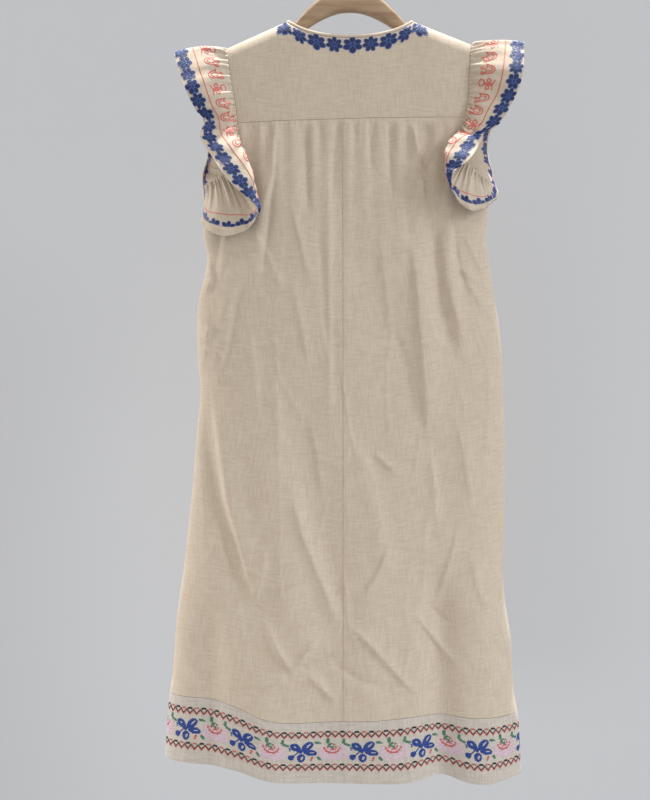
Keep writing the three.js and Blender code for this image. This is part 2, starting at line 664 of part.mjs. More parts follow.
// Where the ruffle is sewn: just off the cloth's edge, and a little outside its face
function ruffleSeam(side, stations, place) {
  const count = stations.length;
  const here = stations[Math.floor(place) % count];
  const next = stations[(Math.floor(place) + 1) % count];
  const z = mix(here.sewnZ, next.sewnZ, place - Math.floor(place));
  const table = side === "left" ? ARMHOLE_LEFT : ARMHOLE_RIGHT;
  const lowest = table[table.length - 1].z;
  const climbing = here.face === "front" || here.sewnZ === lowest;
  const face = climbing ? "front" : "back";
  const edge = armholeEdge(side, face, Math.max(z, lowest));
  const outX = side === "left" ? -1 : 1;
  const turned = Math.min(1, Math.abs(edge.y) / ARMHOLE_FULL_HALF);
  const low = smooth((ARMHOLE_TURNS_FROM_Z - z) / ARMHOLE_TURNS_OVER);
  const sideways = outX * (1 - turned) * low;
  const upwards = (1 - turned) * (1 - low);
  const outward = new THREE.Vector3(sideways, edge.y / ARMHOLE_FULL_HALF, upwards).normalize();
  const hole = new THREE.Vector3(outX * ARMHOLE_MIDDLE.x, 0, ARMHOLE_MIDDLE.z).sub(edge);
  hole.addScaledVector(outward, -hole.dot(outward)).normalize();
  const lower = smooth((RUFFLE_LOW_FROM_Z - z) / RUFFLE_LOW_OVER);
  const away = mix(RUFFLE_SEAM_AWAY.upper, RUFFLE_SEAM_AWAY.lower, lower);
  const out = mix(RUFFLE_SEAM_OUT.upper, RUFFLE_SEAM_OUT.lower, lower);
  return edge.addScaledVector(hole, away).addScaledVector(outward, out);
}

// The middle surface of a ruffle, a row for each share of its width
function ruffleGrid(side, stations) {
  const mids = stations.map((s) => s.mid);
  const edges = stations.map((s) => s.edge);
  const plain = RUFFLE_ROWS.map((w) =>
    Array.from({ length: RUFFLE_COLUMNS }, (_, j) => {
      const place = (j / RUFFLE_COLUMNS) * stations.length;
      const seam = ruffleSeam(side, stations, place);
      const mid = new THREE.Vector3(...loopValue(mids, place));
      const edge = new THREE.Vector3(...loopValue(edges, place));
      const point = seam.multiplyScalar((1 - w) * (1 - 2 * w));
      point.addScaledVector(mid, 4 * w * (1 - w));
      return point.addScaledVector(edge, w * (2 * w - 1));
    }),
  );
  const normals = gridNormals(plain, 1, true);
  return plain.map((row, i) =>
    row.map((point, j) => {
      const w = RUFFLE_ROWS[i];
      const size = RUFFLE_GATHER_HEIGHT * Math.sin(Math.PI * Math.min(1, w / RUFFLE_GATHER_WIDTH));
      const wave = Math.cos((2 * Math.PI * RUFFLE_GATHERS * j) / RUFFLE_COLUMNS);
      return point.clone().addScaledVector(normals[i][j], size * wave);
    }),
  );
}

// The raised flower chain near a ruffle's outer edge, wide at a flower and narrow between two
function ruffleTrim(outside, normals) {
  const rowAt = (shares) =>
    outside[3].map((inner, j) => {
      const share = j % 2 === 0 ? shares.flower : shares.between;
      return inner.clone().lerp(outside[4][j], share);
    });
  const bottom = [rowAt(RUFFLE_TRIM_INNER), rowAt(RUFFLE_TRIM_OUTER)];
  const ways = [normals[3], normals[4]];
  const under = moved(bottom, ways, TRIM_LIFT);
  const over = moved(bottom, ways, TRIM_LIFT + TRIM_THICKNESS);
  return wallBetween(over, under, true);
}

// The raised flower chain below the neck edge, from the cloth's own rows 5 to 24 mm below it
function neckTrim(grid, sign, first, last) {
  const normals = gridNormals(grid, sign, false);
  const pick = (i, j, i2, share) => grid[i][j].clone().lerp(grid[i2][j], share);
  const rows = [[], [], []];
  const ways = [[], [], []];
  for (let j = first; j <= last; j += 1) {
    const place = (j - first) % 2 === 0 ? "flower" : "between";
    rows[0].push(pick(1, j, 2, NECK_TRIM_UPPER[place]));
    rows[1].push(grid[2][j].clone());
    rows[2].push(pick(2, j, 3, NECK_TRIM_LOWER[place]));
    for (const way of ways) way.push(normals[2][j]);
  }
  const under = moved(rows, ways, TRIM_LIFT);
  const over = moved(rows, ways, TRIM_LIFT + TRIM_THICKNESS);
  return wallBetween(over, under, false);
}

// The binding follows the whole neck edge. Its way up leans inward over the shoulders.
function bindingGeometry() {
  const back = backYoke[0].slice(neckFirstBack + 1, neckLastBack);
  const before = frontYoke[0].slice(neckFirstFront + 1, neckLastFront);
  const loop = [...back, ...before.reverse()];
  const sections = loop.map((edge, i) => {
    const next = loop[(i + 1) % loop.length];
    const last = loop[(i - 1 + loop.length) % loop.length];
    const way = next.clone().sub(last).normalize();
    const up = new THREE.Vector3((-edge.x / NECK_HALF_WIDTH) * BINDING_LEAN, 0, 1);
    up.addScaledVector(way, -up.dot(way)).normalize();
    const out = new THREE.Vector3().crossVectors(way, up);
    const middle = edge.clone().addScaledVector(out, -CLOTH_WALL / 2);
    return BINDING_SECTION.map((p) =>
      middle.clone().addScaledVector(out, p.across).addScaledVector(up, p.up),
    );
  });
  const triangles = [];
  for (let i = 0; i < sections.length; i += 1) {
    const here = sections[i];
    const next = sections[(i + 1) % sections.length];
    for (let k = 0; k < here.length; k += 1) {
      const m = (k + 1) % here.length;
      triangles.push([here[k], here[m], next[m]], [here[k], next[m], next[k]]);
    }
  }
  return geometryOf(triangles);
}

function solidOf(geometry) {
  const places = geometry.getAttribute("position");
  const index = new Map();
  const verts = [];
  const tris = [];
  for (let i = 0; i < places.count; i += 1) {
    const p = [places.getX(i), places.getY(i), places.getZ(i)];
    const key = p.map((v) => Math.round(v * 1e4)).join();
    if (!index.has(key)) {
      index.set(key, index.size);
      verts.push(...p);
    }
    tris.push(index.get(key));
  }
  const kept = [];
  for (let i = 0; i < tris.length; i += 3) {
    const [a, b, c] = tris.slice(i, i + 3);
    if (a !== b && b !== c && a !== c) kept.push(a, b, c);
  }
  return new wasm.Manifold(
    new wasm.Mesh({
      numProp: 3,
      vertProperties: Float32Array.from(verts),
      triVerts: Uint32Array.from(kept),
    }),
  );
}

function meshGeometry(solid) {
  const mesh = solid.getMesh();
  const geometry = new THREE.BufferGeometry();
  geometry.setAttribute("position", new THREE.Float32BufferAttribute(mesh.vertProperties, 3));
  geometry.setIndex(Array.from(mesh.triVerts));
  const flat = geometry.toNonIndexed();
  flat.computeVertexNormals();
  return flat;
}

// Eight-sided sections from arm's end to arm's end, bored for the hook
function hangerGeometry() {
  const right = HANGER_SECTIONS;
  const left = right.slice(1).reverse().map((row) => ({ ...row, x: -row.x }));
  const sections = [...left, ...right].map((row) => {
    const half = row.thickness / 2;
    const corner = row.thickness * HANGER_CORNER_SHARE;
    return [
      [-half + corner, row.top],
      [half - corner, row.top],
      [half, row.top - corner],
      [half, row.bottom + corner],
      [half - corner, row.bottom],
      [-half + corner, row.bottom],
      [-half, row.bottom + corner],
      [-half, row.top - corner],
    ].map(([y, z]) => new THREE.Vector3(row.x, y, z));
  });
  const triangles = [];
  const sides = sections[0].length;
  for (let i = 0; i < sections.length - 1; i += 1) {
    for (let k = 0; k < sides; k += 1) {
      const m = (k + 1) % sides;
      const [here, next] = [sections[i], sections[i + 1]];
      triangles.push([here[k], here[m], next[m]], [here[k], next[m], next[k]]);
    }
  }
  const [start, end] = [sections[0], sections[sections.length - 1]];
  for (let k = 1; k < sides - 1; k += 1) {
    triangles.push([start[0], start[k + 1], start[k]], [end[0], end[k], end[k + 1]]);
  }
  const r = HOOK_BORE_RADIUS;
  const bore = new THREE.CylinderGeometry(r, r, HOOK_BORE_LENGTH, HOOK_BORE_SIDES);
  bore.rotateX(Math.PI / 2);
  bore.translate(0, 0, HOOK_BORE_BOTTOM_Z + HOOK_BORE_LENGTH / 2);
  return meshGeometry(solidOf(geometryOf(triangles)).subtract(solidOf(bore.toNonIndexed())));
}

function hookGeometry() {
  const path = new THREE.CatmullRomCurve3(HOOK_PATH.map((p) => new THREE.Vector3(p.x, 0, p.z)));
  const wire = new THREE.Shape();
  wire.absarc(0, 0, HOOK_WIRE_RADIUS, 0, 2 * Math.PI, false);
  return new THREE.ExtrudeGeometry(wire, {
    extrudePath: path,
    steps: HOOK_STEPS,
    curveSegments: HOOK_SIDES,
    bevelEnabled: false,
  });
}

const object = new THREE.Group();

function add(name, geometry, colour, roughness, metalness) {
  const material = new THREE.MeshStandardMaterial({ color: colour, roughness, metalness });
  const mesh = new THREE.Mesh(geometry, material);
  mesh.name = name;
  object.add(mesh);
}

function addPanel(name, grid, sign, thickness, keptEnds, colour, centreEnd = null) {
  const inner = panelInside(grid, sign, thickness, keptEnds, centreEnd);
  add(name, wallBetween(grid, inner, false), colour, 0.9, 0);
}

addPanel("back_yoke", backYoke, BACK_SIGN, CLOTH_WALL, [], COLOURS.cloth);
addPanel("front_yoke", frontYoke, FRONT_SIGN, CLOTH_WALL, [], COLOURS.cloth);
addPanel("back_left_panel", backLeft, BACK_SIGN, CLOTH_WALL, ["left"], COLOURS.cloth, backLeft[0].length - 1);
addPanel("back_right_panel", backRight, BACK_SIGN, CLOTH_WALL, ["right"], COLOURS.cloth, 0);
addPanel("front_panel", frontSkirt, FRONT_SIGN, CLOTH_WALL, ["left", "right"], COLOURS.cloth);
addPanel("hem_band_back", bandBack, BACK_SIGN, BAND_WALL, ["left", "right"], COLOURS.band);
addPanel("hem_band_front", bandFront, FRONT_SIGN, BAND_WALL, ["left", "right"], COLOURS.band);

for (const [side, stations] of [["left", RUFFLE_LEFT], ["right", RUFFLE_RIGHT]]) {
  const middle = ruffleGrid(side, stations);
  const normals = gridNormals(middle, side === "left" ? -1 : 1, true);
  const outside = moved(middle, normals, RUFFLE_WALL / 2);
  const inside = moved(middle, normals, -RUFFLE_WALL / 2);
  add(`ruffle_${side}`, wallBetween(outside, inside, true), COLOURS.cloth, 0.9, 0);
  add(`ruffle_trim_${side}`, ruffleTrim(outside, normals), COLOURS.flowers, 0.6, 0);
}

const neckFirstBack = SHOULDER_COLUMNS_LEFT.length - 1;
const neckLastBack = neckFirstBack + NECK_COLUMNS_BACK;
const neckFirstFront = FRONT_LEFT_COLUMNS.length - 1;
const neckLastFront = neckFirstFront + NECK_COLUMNS_FRONT;
add("neck_binding", bindingGeometry(), COLOURS.cloth, 0.85, 0);
const neckTrimBack = neckTrim(backYoke, BACK_SIGN, neckFirstBack + 2, neckLastBack - 2);
const neckTrimFront = neckTrim(frontYoke, FRONT_SIGN, neckFirstFront + 2, neckLastFront - 2);
add("neck_trim_back", neckTrimBack, COLOURS.flowers, 0.6, 0);
add("neck_trim_front", neckTrimFront, COLOURS.flowers, 0.6, 0);

add("hanger_wood", hangerGeometry(), COLOURS.wood, 0.55, 0);
add("hanger_hook", hookGeometry(), COLOURS.steel, 0.3, 1);

export default object;
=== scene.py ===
import math

import bpy
import numpy as np
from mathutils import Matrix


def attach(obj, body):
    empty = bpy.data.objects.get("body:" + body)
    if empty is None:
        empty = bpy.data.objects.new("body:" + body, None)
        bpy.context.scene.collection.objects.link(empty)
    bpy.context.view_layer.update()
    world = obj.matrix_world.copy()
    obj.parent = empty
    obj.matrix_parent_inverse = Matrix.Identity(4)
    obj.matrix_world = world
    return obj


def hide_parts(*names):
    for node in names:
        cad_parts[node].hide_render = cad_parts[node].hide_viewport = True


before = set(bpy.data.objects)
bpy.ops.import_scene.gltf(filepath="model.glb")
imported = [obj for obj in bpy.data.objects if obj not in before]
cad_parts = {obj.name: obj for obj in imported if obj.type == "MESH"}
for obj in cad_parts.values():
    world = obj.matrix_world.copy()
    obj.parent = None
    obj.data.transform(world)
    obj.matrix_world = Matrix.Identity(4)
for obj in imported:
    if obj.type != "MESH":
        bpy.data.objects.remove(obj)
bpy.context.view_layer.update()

# Camera. It stands 1.5 m behind the dress's back, level with the waist, as the photographer did.
# At the hanger's plane one picture point is 1.5 mm.
CAMERA_DISTANCE = 1.5
PICTURE_HEIGHT = 1.2
camera_data = bpy.data.cameras.new("camera")
camera_data.sensor_fit = "VERTICAL"
camera_data.sensor_height = 24
camera_data.lens = 24 * CAMERA_DISTANCE / PICTURE_HEIGHT
camera = bpy.data.objects.new("camera", camera_data)
camera.location = (-0.0375, -CAMERA_DISTANCE, -0.6825)
camera.rotation_euler = (math.radians(90), 0, 0)
bpy.context.collection.objects.link(camera)
bpy.context.scene.camera = camera


# Room. A plain pale wall behind the dress and a pale floor. Sunlight falls from high above along
# the wall and only grazes the cloth; soft light comes from the right, the left rim and the floor.
def set_inputs(tree, node, inputs):
    """Sets a node's inputs, and links those that are given as another node's output."""
    for key, value in inputs.items():
        if isinstance(value, bpy.types.NodeSocket):
            tree.links.new(value, node.inputs[key])
        else:
            node.inputs[key].default_value = value


def add_node(tree, kind, inputs=None, **settings):
    node = tree.nodes.new("ShaderNode" + kind)
    for name, value in settings.items():
        setattr(node, name, value)
    set_inputs(tree, node, inputs or {})
    return node


def plain_material(name, colour, roughness, metallic=0.0):
    material = bpy.data.materials.new(name)
    material.use_nodes = True
    look = {"Base Color": (*colour, 1), "Roughness": roughness, "Metallic": metallic}
    set_inputs(material.node_tree, material.node_tree.nodes["Principled BSDF"], look)
    return material


def stage_plane(name, corners, material):
    mesh = bpy.data.meshes.new(name)
    mesh.from_pydata(corners, [], [(0, 1, 2, 3)])
    plane = bpy.data.objects.new(name, mesh)
    bpy.context.collection.objects.link(plane)
    plane.data.materials.append(material)
    return plane


# Seen from behind, the wall is clear.
wall_material = plain_material("wall_paint", (0.635, 0.66, 0.715), 0.9)
wall_tree = wall_material.node_tree
sides_of_wall = {
    "Fac": add_node(wall_tree, "NewGeometry").outputs["Backfacing"],
    1: wall_tree.nodes["Principled BSDF"].outputs["BSDF"],
    2: add_node(wall_tree, "BsdfTransparent").outputs["BSDF"],
}
one_sided = add_node(wall_tree, "MixShader", sides_of_wall).outputs["Shader"]
set_inputs(wall_tree, wall_tree.nodes["Material Output"], {"Surface": one_sided})
WALL_Y = 0.45
FLOOR_Z = -1.75
WALL_TOP_Z = 1.6
ROOM_HALF = 3
corner_ways = ((-1, -1), (1, -1), (1, 1), (-1, 1))
wall_corners = [(ROOM_HALF * x, WALL_Y, WALL_TOP_Z if z > 0 else FLOOR_Z) for x, z in corner_ways]
floor_corners = [(ROOM_HALF * x, ROOM_HALF * y, FLOOR_Z) for x, y in corner_ways]
wall = stage_plane("wall", wall_corners, wall_material)
floor = stage_plane("floor", floor_corners, plain_material("floor_paint", (0.17, 0.173, 0.18), 0.9))

world = bpy.data.worlds.new("room_light")
world.use_nodes = True
room_glow = {"Color": (1.0, 0.965, 0.905, 1), "Strength": 0.69}
set_inputs(world.node_tree, world.node_tree.nodes["Background"], room_glow)
bpy.context.scene.world = world
bpy.context.scene.view_settings.view_transform = "Standard"


def lamp(name, place, power, colour, spread, target=None):
    """A sun over the whole room or, with a target, a soft spot. The spread is in degrees."""
    data = bpy.data.lights.new(name, "SPOT" if target else "SUN")
    data.energy = power
    data.color = colour
    if target:
        data.spot_size = math.radians(spread)
        data.spot_blend = 1
        data.shadow_soft_size = 0.4
    else:
        data.angle = math.radians(spread)
    light = bpy.data.objects.new(name, data)
    light.location = place
    way = np.array(target or (0, 0, 0), float) - np.array(place, float)
    rise = math.atan2(way[2], math.hypot(way[0], way[1]))
    light.rotation_euler = (math.pi / 2 + rise, 0, math.atan2(way[1], way[0]) - math.pi / 2)
    bpy.context.collection.objects.link(light)


WARM = (1.0, 0.97, 0.92)
COOL = (0.88, 0.96, 1.0)
PALE = (1.0, 0.98, 0.95)
lamp("high_sun", place=(0.04, 0.15, 1.0), power=8.0, colour=WARM, spread=3)
lamp("open_side", place=(2.0, -0.8, 0.9), power=1.35, colour=COOL, spread=25)
lamp("left_rim", place=(-1.5, 0.35, 0.6), power=2.2, colour=WARM, spread=15)
BOUNCE_TARGET = (-0.08, 0, -1.1)
lamp("floor_bounce", place=(-0.9, -1.7, -1.3), target=BOUNCE_TARGET, power=17, colour=PALE, spread=52)
wall.visible_shadow = False
floor.visible_diffuse = False


# Hanger. A beech arm board, sanded round and waxed, with a wire hook screwed into its hump.
# The dress hangs from it by its shoulders. The hook keeps the shape it has in the frame.
MM = 0.001
hanger_sections = {
    "x": [0, 14, 28, 42, 56, 70, 82, 94, 112, 136, 158, 167],
    "top": [-62, -63, -68, -78, -90, -104, -118, -130, -140, -152, -164, -170],
    "bottom": [-101, -102, -106, -112, -120, -130, -139, -148, -157, -169, -179, -179],
    "thickness": [18, 18, 18, 18, 17, 16, 14, 14, 14, 14, 13, 9],
}


def cubic(k, start, end, start_slope, end_slope):
    """The smooth curve between two values with these slopes, where k runs from 0 to 1."""
    return (
        (2 * k**3 - 3 * k**2 + 1) * start
        + (k**3 - 2 * k**2 + k) * start_slope
        + (3 * k**2 - 2 * k**3) * end
        + (k**3 - k**2) * end_slope
    )


def along(table, column, key, value):
    """A smooth value between a table's rows, whose key column rises or falls all the way."""
    keys = np.array(table[key], float)
    values = np.array(table[column], float)
    way = 1 if keys[-1] > keys[0] else -1
    value = np.clip(np.asarray(value, float), keys.min(), keys.max())
    last = len(keys) - 1
    i = np.clip(np.searchsorted(way * keys, way * value, side="right") - 1, 0, last - 1)
    before = np.maximum(i - 1, 0)
    after = np.minimum(i + 2, last)
    span = keys[i + 1] - keys[i]
    start_slope = (values[i + 1] - values[before]) / (keys[i + 1] - keys[before]) * span
    end_slope = (values[after] - values[i]) / (keys[after] - keys[i]) * span
    return cubic((value - keys[i]) / span, values[i], values[i + 1], start_slope, end_slope)


def object_from(name, points, faces, material, smooth=True):
    """A mesh object from points in millimetres."""
    mesh = bpy.data.meshes.new(name)
    mesh.from_pydata((np.asarray(points) * MM).tolist(), [], faces)
    mesh.update()
    if smooth:
        mesh.polygons.foreach_set("use_smooth", [True] * len(mesh.polygons))
    item = bpy.data.objects.new(name, mesh)
    bpy.context.collection.objects.link(item)
    for one in material if isinstance(material, list) else [material]:
        item.data.materials.append(one)
    return item


def grid_faces(rows, columns, sign, closed=False):
    i = np.arange(rows - 1)[:, None]
    j = np.arange(columns if closed else columns - 1)[None, :]
    n = (j + 1) % columns
    corners = [i * columns + j, (i + 1) * columns + j, (i + 1) * columns + n, i * columns + n]
    if sign > 0:
        corners.reverse()
    return np.stack(np.broadcast_arrays(*corners), -1).reshape(-1, 4).tolist()


def colour_ramp(tree, share, dark, light, start=0.0, end=1.0):
    """Colours from dark to light as the share goes from start to end."""
    ramp = add_node(tree, "ValToRGB", {"Fac": share})
    for element, place, colour in zip(ramp.color_ramp.elements, (start, end), (dark, light)):
        element.position = place
        element.color = (*colour, 1)
    return ramp.outputs["Color"]


wood = plain_material("beech", (0.49, 0.35, 0.235), 0.5)
wood_tree = wood.node_tree
wood_place = add_node(wood_tree, "TexCoord").outputs["Object"]
stretch = {"Vector": wood_place, "Scale": (9, 160, 120)}
stretched = add_node(wood_tree, "Mapping", stretch).outputs["Vector"]
grain = add_node(wood_tree, "TexNoise", {"Vector": stretched, "Scale": 1.0, "Detail": 4}).outputs["Fac"]
wood_colour = colour_ramp(wood_tree, grain, (0.30, 0.195, 0.12), (0.45, 0.315, 0.205), 0.35, 0.65)
set_inputs(wood_tree, wood_tree.nodes["Principled BSDF"], {"Base Color": wood_colour})

HANGER_SIDES = 20
HANGER_STATIONS = 121
SECTION_POWER = 0.62


def squarish(v):
    return np.sign(v) * np.abs(v) ** SECTION_POWER


hanger_end = hanger_sections["x"][-1]
hanger_x = np.linspace(-hanger_end, hanger_end, HANGER_STATIONS)[:, None]
hanger_top, hanger_bottom, hanger_thickness = (
    along(hanger_sections, column, "x", np.abs(hanger_x)) for column in ("top", "bottom", "thickness")
)
turn = np.linspace(0, 2 * math.pi, HANGER_SIDES, endpoint=False)
hanger_y = hanger_thickness / 2 * squarish(np.cos(turn))
hanger_z = (hanger_top + hanger_bottom) / 2 + (hanger_top - hanger_bottom) / 2 * squarish(np.sin(turn))
hanger_points = np.stack(np.broadcast_arrays(hanger_x, hanger_y, hanger_z), -1).reshape(-1, 3)
last_ring = len(hanger_points) - HANGER_SIDES
hanger_ends = [tuple(range(HANGER_SIDES)), tuple(last_ring + k for k in reversed(range(HANGER_SIDES)))]
hanger_faces = grid_faces(HANGER_STATIONS, HANGER_SIDES, -1, closed=True) + hanger_ends
hanger = object_from("beech_hanger", hanger_points, hanger_faces, wood)
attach(hanger, "root")
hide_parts("hanger_wood")

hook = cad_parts["hanger_hook"]
hook.data.materials.clear()
hook.data.materials.append(plain_material("bright_wire", (0.62, 0.63, 0.65), 0.22, 1.0))
hook_smooth = hook.modifiers.new("rounded", "SUBSURF")
hook_smooth.levels = 1
hook_smooth.render_levels = 1

# Yoke. The flat upper back, cut double from slubbed cotton, between the shoulders, the armholes
# and a straight seam. The skirt is gathered into its lower edge, and a row of stitches holds the seam.
SEAM_GAP = 0.3
SEAM_LINE = 0.12
UNDERARM_LEFT_Z = -364
UNDERARM_RIGHT_Z = -358
YOKE_SEAM_LEFT_Z = -271
YOKE_SEAM_RIGHT_Z = -262
TIP_LEFT = (-184.5, -156)
TIP_RIGHT = (181.5, -150)
NECK_HALF_WIDTH = 96
NECK_POINT_Z = -116.5
BAND_TOP_Z = -1151
HEM_Z = -1247
CENTRE_SEAM_X = -11
# Which way each face of the dress looks, along y.
SIGNS = {"back": -1, "front": 1}
# The outline down each armhole, then down the sides, and the half depth from the middle plane.
armholes = {
    "left": {
        "z": [-156, -182, -212, -240, -261, -279, -297, -312, -327, -337, -347, -355, -361, -364],
        "x": [-184.5, -181, -176, -171, -168, -167, -168, -171, -175, -181, -189, -198, -208, -216],
    },
    "right": {
        "z": [-150, -176, -200, -222, -243, -261, -276, -288]
        + [-300, -312, -322, -331, -341, -349, -355, -358],
        "x": [181.5, 179, 177, 176, 174, 170, 166, 164, 163, 165, 168, 173, 181, 190, 199, 206],
    },
}
sides = {
    "z": [-364, -405, -442, -472, -532, -562, -622, -667, -727]
    + [-802, -862, -937, -982, -1042, -1117, -1162, -1247],
    "left": [-216, -219, -219, -214, -226, -229, -228, -224, -229]
    + [-235, -241, -249, -255, -261, -265, -271, -277],
    "right": [206, 206, 204, 208, 217, 222, 228, 229, 232, 232, 231, 229, 232, 241, 245, 252, 256],
}
depths = {
    "z": [-112, -156, -200, -268, -362, -442, -532, -727, -937, -1117, -1247],
    "back": [16, 19, 21, 24, 29, 34, 40, 46, 52, 58, 62],
    "front": [17, 22, 26, 30, 35, 40, 46, 52, 57, 62, 66],
}
# The rise of the seam above the band and of the hem, from the right side seam to the left.
hem_lifts = {
    "across": [1, 0.76, 0.53, 0.42, 0.3, 0, -0.35, -0.48, -0.58, -0.72, -1],
    "back_seam": [3, 4, 9, 10, 8, 5, 3, 10, 21, 30, 32],
    "back_hem": [8, 4, 17, 15, 12, 13, 14, 20, 27, 31, 32],
    "front_seam": [3, 1, 0, 0, 0, 0, 1, 3, 6, 13, 32],
    "front_hem": [8, 3, 0, 0, 0, 0, 1, 3, 6, 13, 32],
}
# Each fold runs through three points of the cloth: x and z of its top, middle and end,
# then its height out of the cloth and its half widths to the left and the right.
back_folds = [
    (-115, -275, -130, -411, -147, -536, 4, 12, 12),
    (91, -440, 105, -620, 116, -760, 7, 6, 24),
    (125, -400, 133, -536, 153, -630, -7, 14, 13),
    (146, -350, 144, -480, 170, -640, 6, 11, 11),
    (-172, -470, -190, -595, -205, -690, 5, 14, 14),
    (-206, -660, -181, -830, -132, -996, 9, 5, 26),
    (-220, -690, -197, -830, -160, -985, -7, 12, 9),
    (-92, -790, -66, -890, -10, -1040, 4, 13, 13),
    (8, -740, 31, -830, 60, -960, 3, 15, 15),
    (126, -900, 131, -1040, 138, -1400, -20, 26, 26),
    (196, -900, 199, -1040, 204, -1400, 4, 22, 22),
    (-204, -960, -206, -1060, -210, -1400, -9, 20, 20),
    (-128, -980, -126, -1080, -124, -1400, 5, 30, 30),
    (112, -268, 114, -308, 108, -352, -5, 10, 12),
    (-226, -462, -221, -492, -217, -528, 7, 9, 12),
    (-226, -548, -223, -580, -220, -622, 7, 9, 12),
]
# Creases are sharper: the same line and height, then the widths to their left and right.
back_creases = [
    (-64, -270, -63, -330, -61, -420, -3.4, 7, 4),
    (-104, -268, -117, -400, -132, -520, -3.0, 9, 4),
    (-22, -268, -24, -330, -27, -400, -2.0, 6, 4),
    (-31, -300, -31, -470, -29, -760, 2.6, 16, 3.5),
    (27, -264, 29, -310, 30, -350, -2.0, 6, 4),
    (57, -264, 58, -320, 62, -390, -2.4, 7, 4),
    (100, -264, 101, -300, 100, -350, -2.2, 6, 4),
    (156, -430, 166, -491, 200, -560, 1.9, 6, 9),
    (150, -390, 158, -470, 176, -540, -3.2, 8, 5),
    (-196, -365, -190, -425, -206, -520, -2.6, 8, 6),
    (-178, -380, -183, -430, -200, -545, 2.2, 6, 12),
    (-160, -505, -176, -595, -196, -670, -3.0, 12, 5),
    (-150, -420, -120, -470, -96, -530, 1.6, 9, 4),
    (-88, -390, -76, -440, -58, -520, 2.0, 4, 8),
    (-90, -800, -70, -879, -14, -1019, 2.6, 3.5, 6),
    (-129, -1000, -108, -1045, -80, -1085, 4.2, 4, 7),
    (-45, -1020, -66, -1052, -92, -1085, 4.2, 6, 4),
    (-10, -1047, -50, -1066, -92, -1080, -3.0, 9, 9),
    (90, -992, 125, -1040, 160, -1085, 3.8, 4, 8),
    (-14, -998, 28, -1040, 105, -1132, 3.4, 4, 8),
    (108, -980, 131, -1000, 152, -1016, -2.4, 5, 5),
    (32, -757, 50, -775, 66, -790, 2.6, 3, 6),
    (115, -750, 122, -804, 128, -870, 2.6, 7, 4),
    (90, -268, 99, -314, 108, -349, 5.0, 5, 4),
    (130, -290, 118, -322, 106, -348, 2.8, 5, 3.5),
    (106, -350, 108, -375, 110, -402, 3.2, 4, 3),
    (60, -560, 84, -640, 92, -720, -2.0, 10, 6),
    (-30, -1060, 10, -1090, 60, -1110, -2.0, 8, 6),
    (-206, -850, -190, -905, -172, -950, 2.8, 4, 7),
    (176, -900, 186, -960, 210, -1010, 2.8, 5, 9),
    (150, -700, 166, -760, 176, -840, 2.4, 5, 9),
    (-150, -560, -140, -640, -136, -720, 1.8, 12, 6),
    (-206, -560, -214, -600, -222, -640, 3.0, 5, 5),
    (40, -430, 52, -520, 58, -600, 1.6, 5, 14),
    (-112, -640, -104, -700, -100, -760, 1.6, 12, 5),
    (-112, -272, -114, -350, -131, -414, 3.2, 8, 3),
    (-88, -505, -72, -575, -61, -640, 2.0, 4, 10),
    (144, -472, 172, -498, 206, -521, 2.6, 5, 10),
    (163, -503, 185, -525, 200, -550, 1.6, 5, 9),
    (163, -428, 181, -464, 205, -512, 3.2, 4, 9),
    (131, -408, 139, -510, 163, -584, 3.4, 4, 12),
    (-214, -470, -205, -500, -217, -530, 7, 15, 3),
    (-214, -602, -200, -613, -186, -622, 5, 6, 6),
    (-66, -1078, -44, -1100, -20, -1126, 3.4, 4, 7),
    (-92, -1078, -112, -1098, -140, -1112, 2.6, 7, 4),
    (-216, -556, -208, -576, -218, -598, 4, 12, 3),
    (84, -300, 86, -380, 82, -460, -1.8, 4, 10),
    (-48, -410, -40, -520, -30, -640, -2.0, 5, 12),
    (200, -590, 206, -680, 196, -790, 2.6, 4, 10),
    (60, -880, 40, -930, 8, -985, 2.2, 3, 9),
    (-120, -880, -128, -940, -150, -1000, 2.4, 9, 3),
    (-64, -700, -50, -760, -42, -830, 1.8, 3, 10),
    (160, -860, 140, -930, 122, -990, 2.6, 3, 9),
]
front_creases = [
    (-70, -276, -84, -360, -100, -470, -2.6, 8, 4),
    (-20, -276, -18, -340, -14, -420, -2.2, 6, 4),
    (40, -276, 46, -350, 60, -460, -2.6, 5, 8),
    (120, -300, 134, -400, 156, -520, 3.2, 5, 9),
    (-190, -400, -176, -470, -150, -560, 3.0, 5, 9),
    (-130, -640, -100, -740, -80, -860, 2.6, 4, 9),
    (20, -700, 44, -800, 58, -930, 2.4, 9, 4),
    (150, -760, 140, -860, 120, -980, 2.8, 4, 8),
    (-60, -980, -26, -1040, 20, -1090, 1.4, 7, 10),
    (-200, -900, -176, -980, -160, -1070, 3.0, 5, 9),
    (180, -980, 170, -1050, 140, -1110, 2.6, 4, 8),
]


def smooth(k):
    c = np.clip(k, 0, 1)
    return c * c * (3 - 2 * c)


def mix(a, b, k):
    return a + (b - a) * k


def fold_height(folds, x, z, sharp=False):
    total = np.zeros(np.broadcast(x, z).shape)
    fade = 0.3 if sharp else 0.22
    power = 1.15 if sharp else 2
    for top_x, top_z, mid_x, mid_z, end_x, end_z, height, width, right_width in folds:
        upper = z > mid_z
        k = np.where(upper, (z - top_z) / (mid_z - top_z), (z - mid_z) / (end_z - mid_z))
        line_x = np.where(upper, mix(top_x, mid_x, k), mix(mid_x, end_x, k))
        down = (z - top_z) / (end_z - top_z)
        share = smooth(down / fade) * smooth((1 - down) / fade)
        off = (x - line_x) / np.where(x < line_x, width, right_width)
        total += height * share * np.exp(-np.abs(off) ** power)
    return total


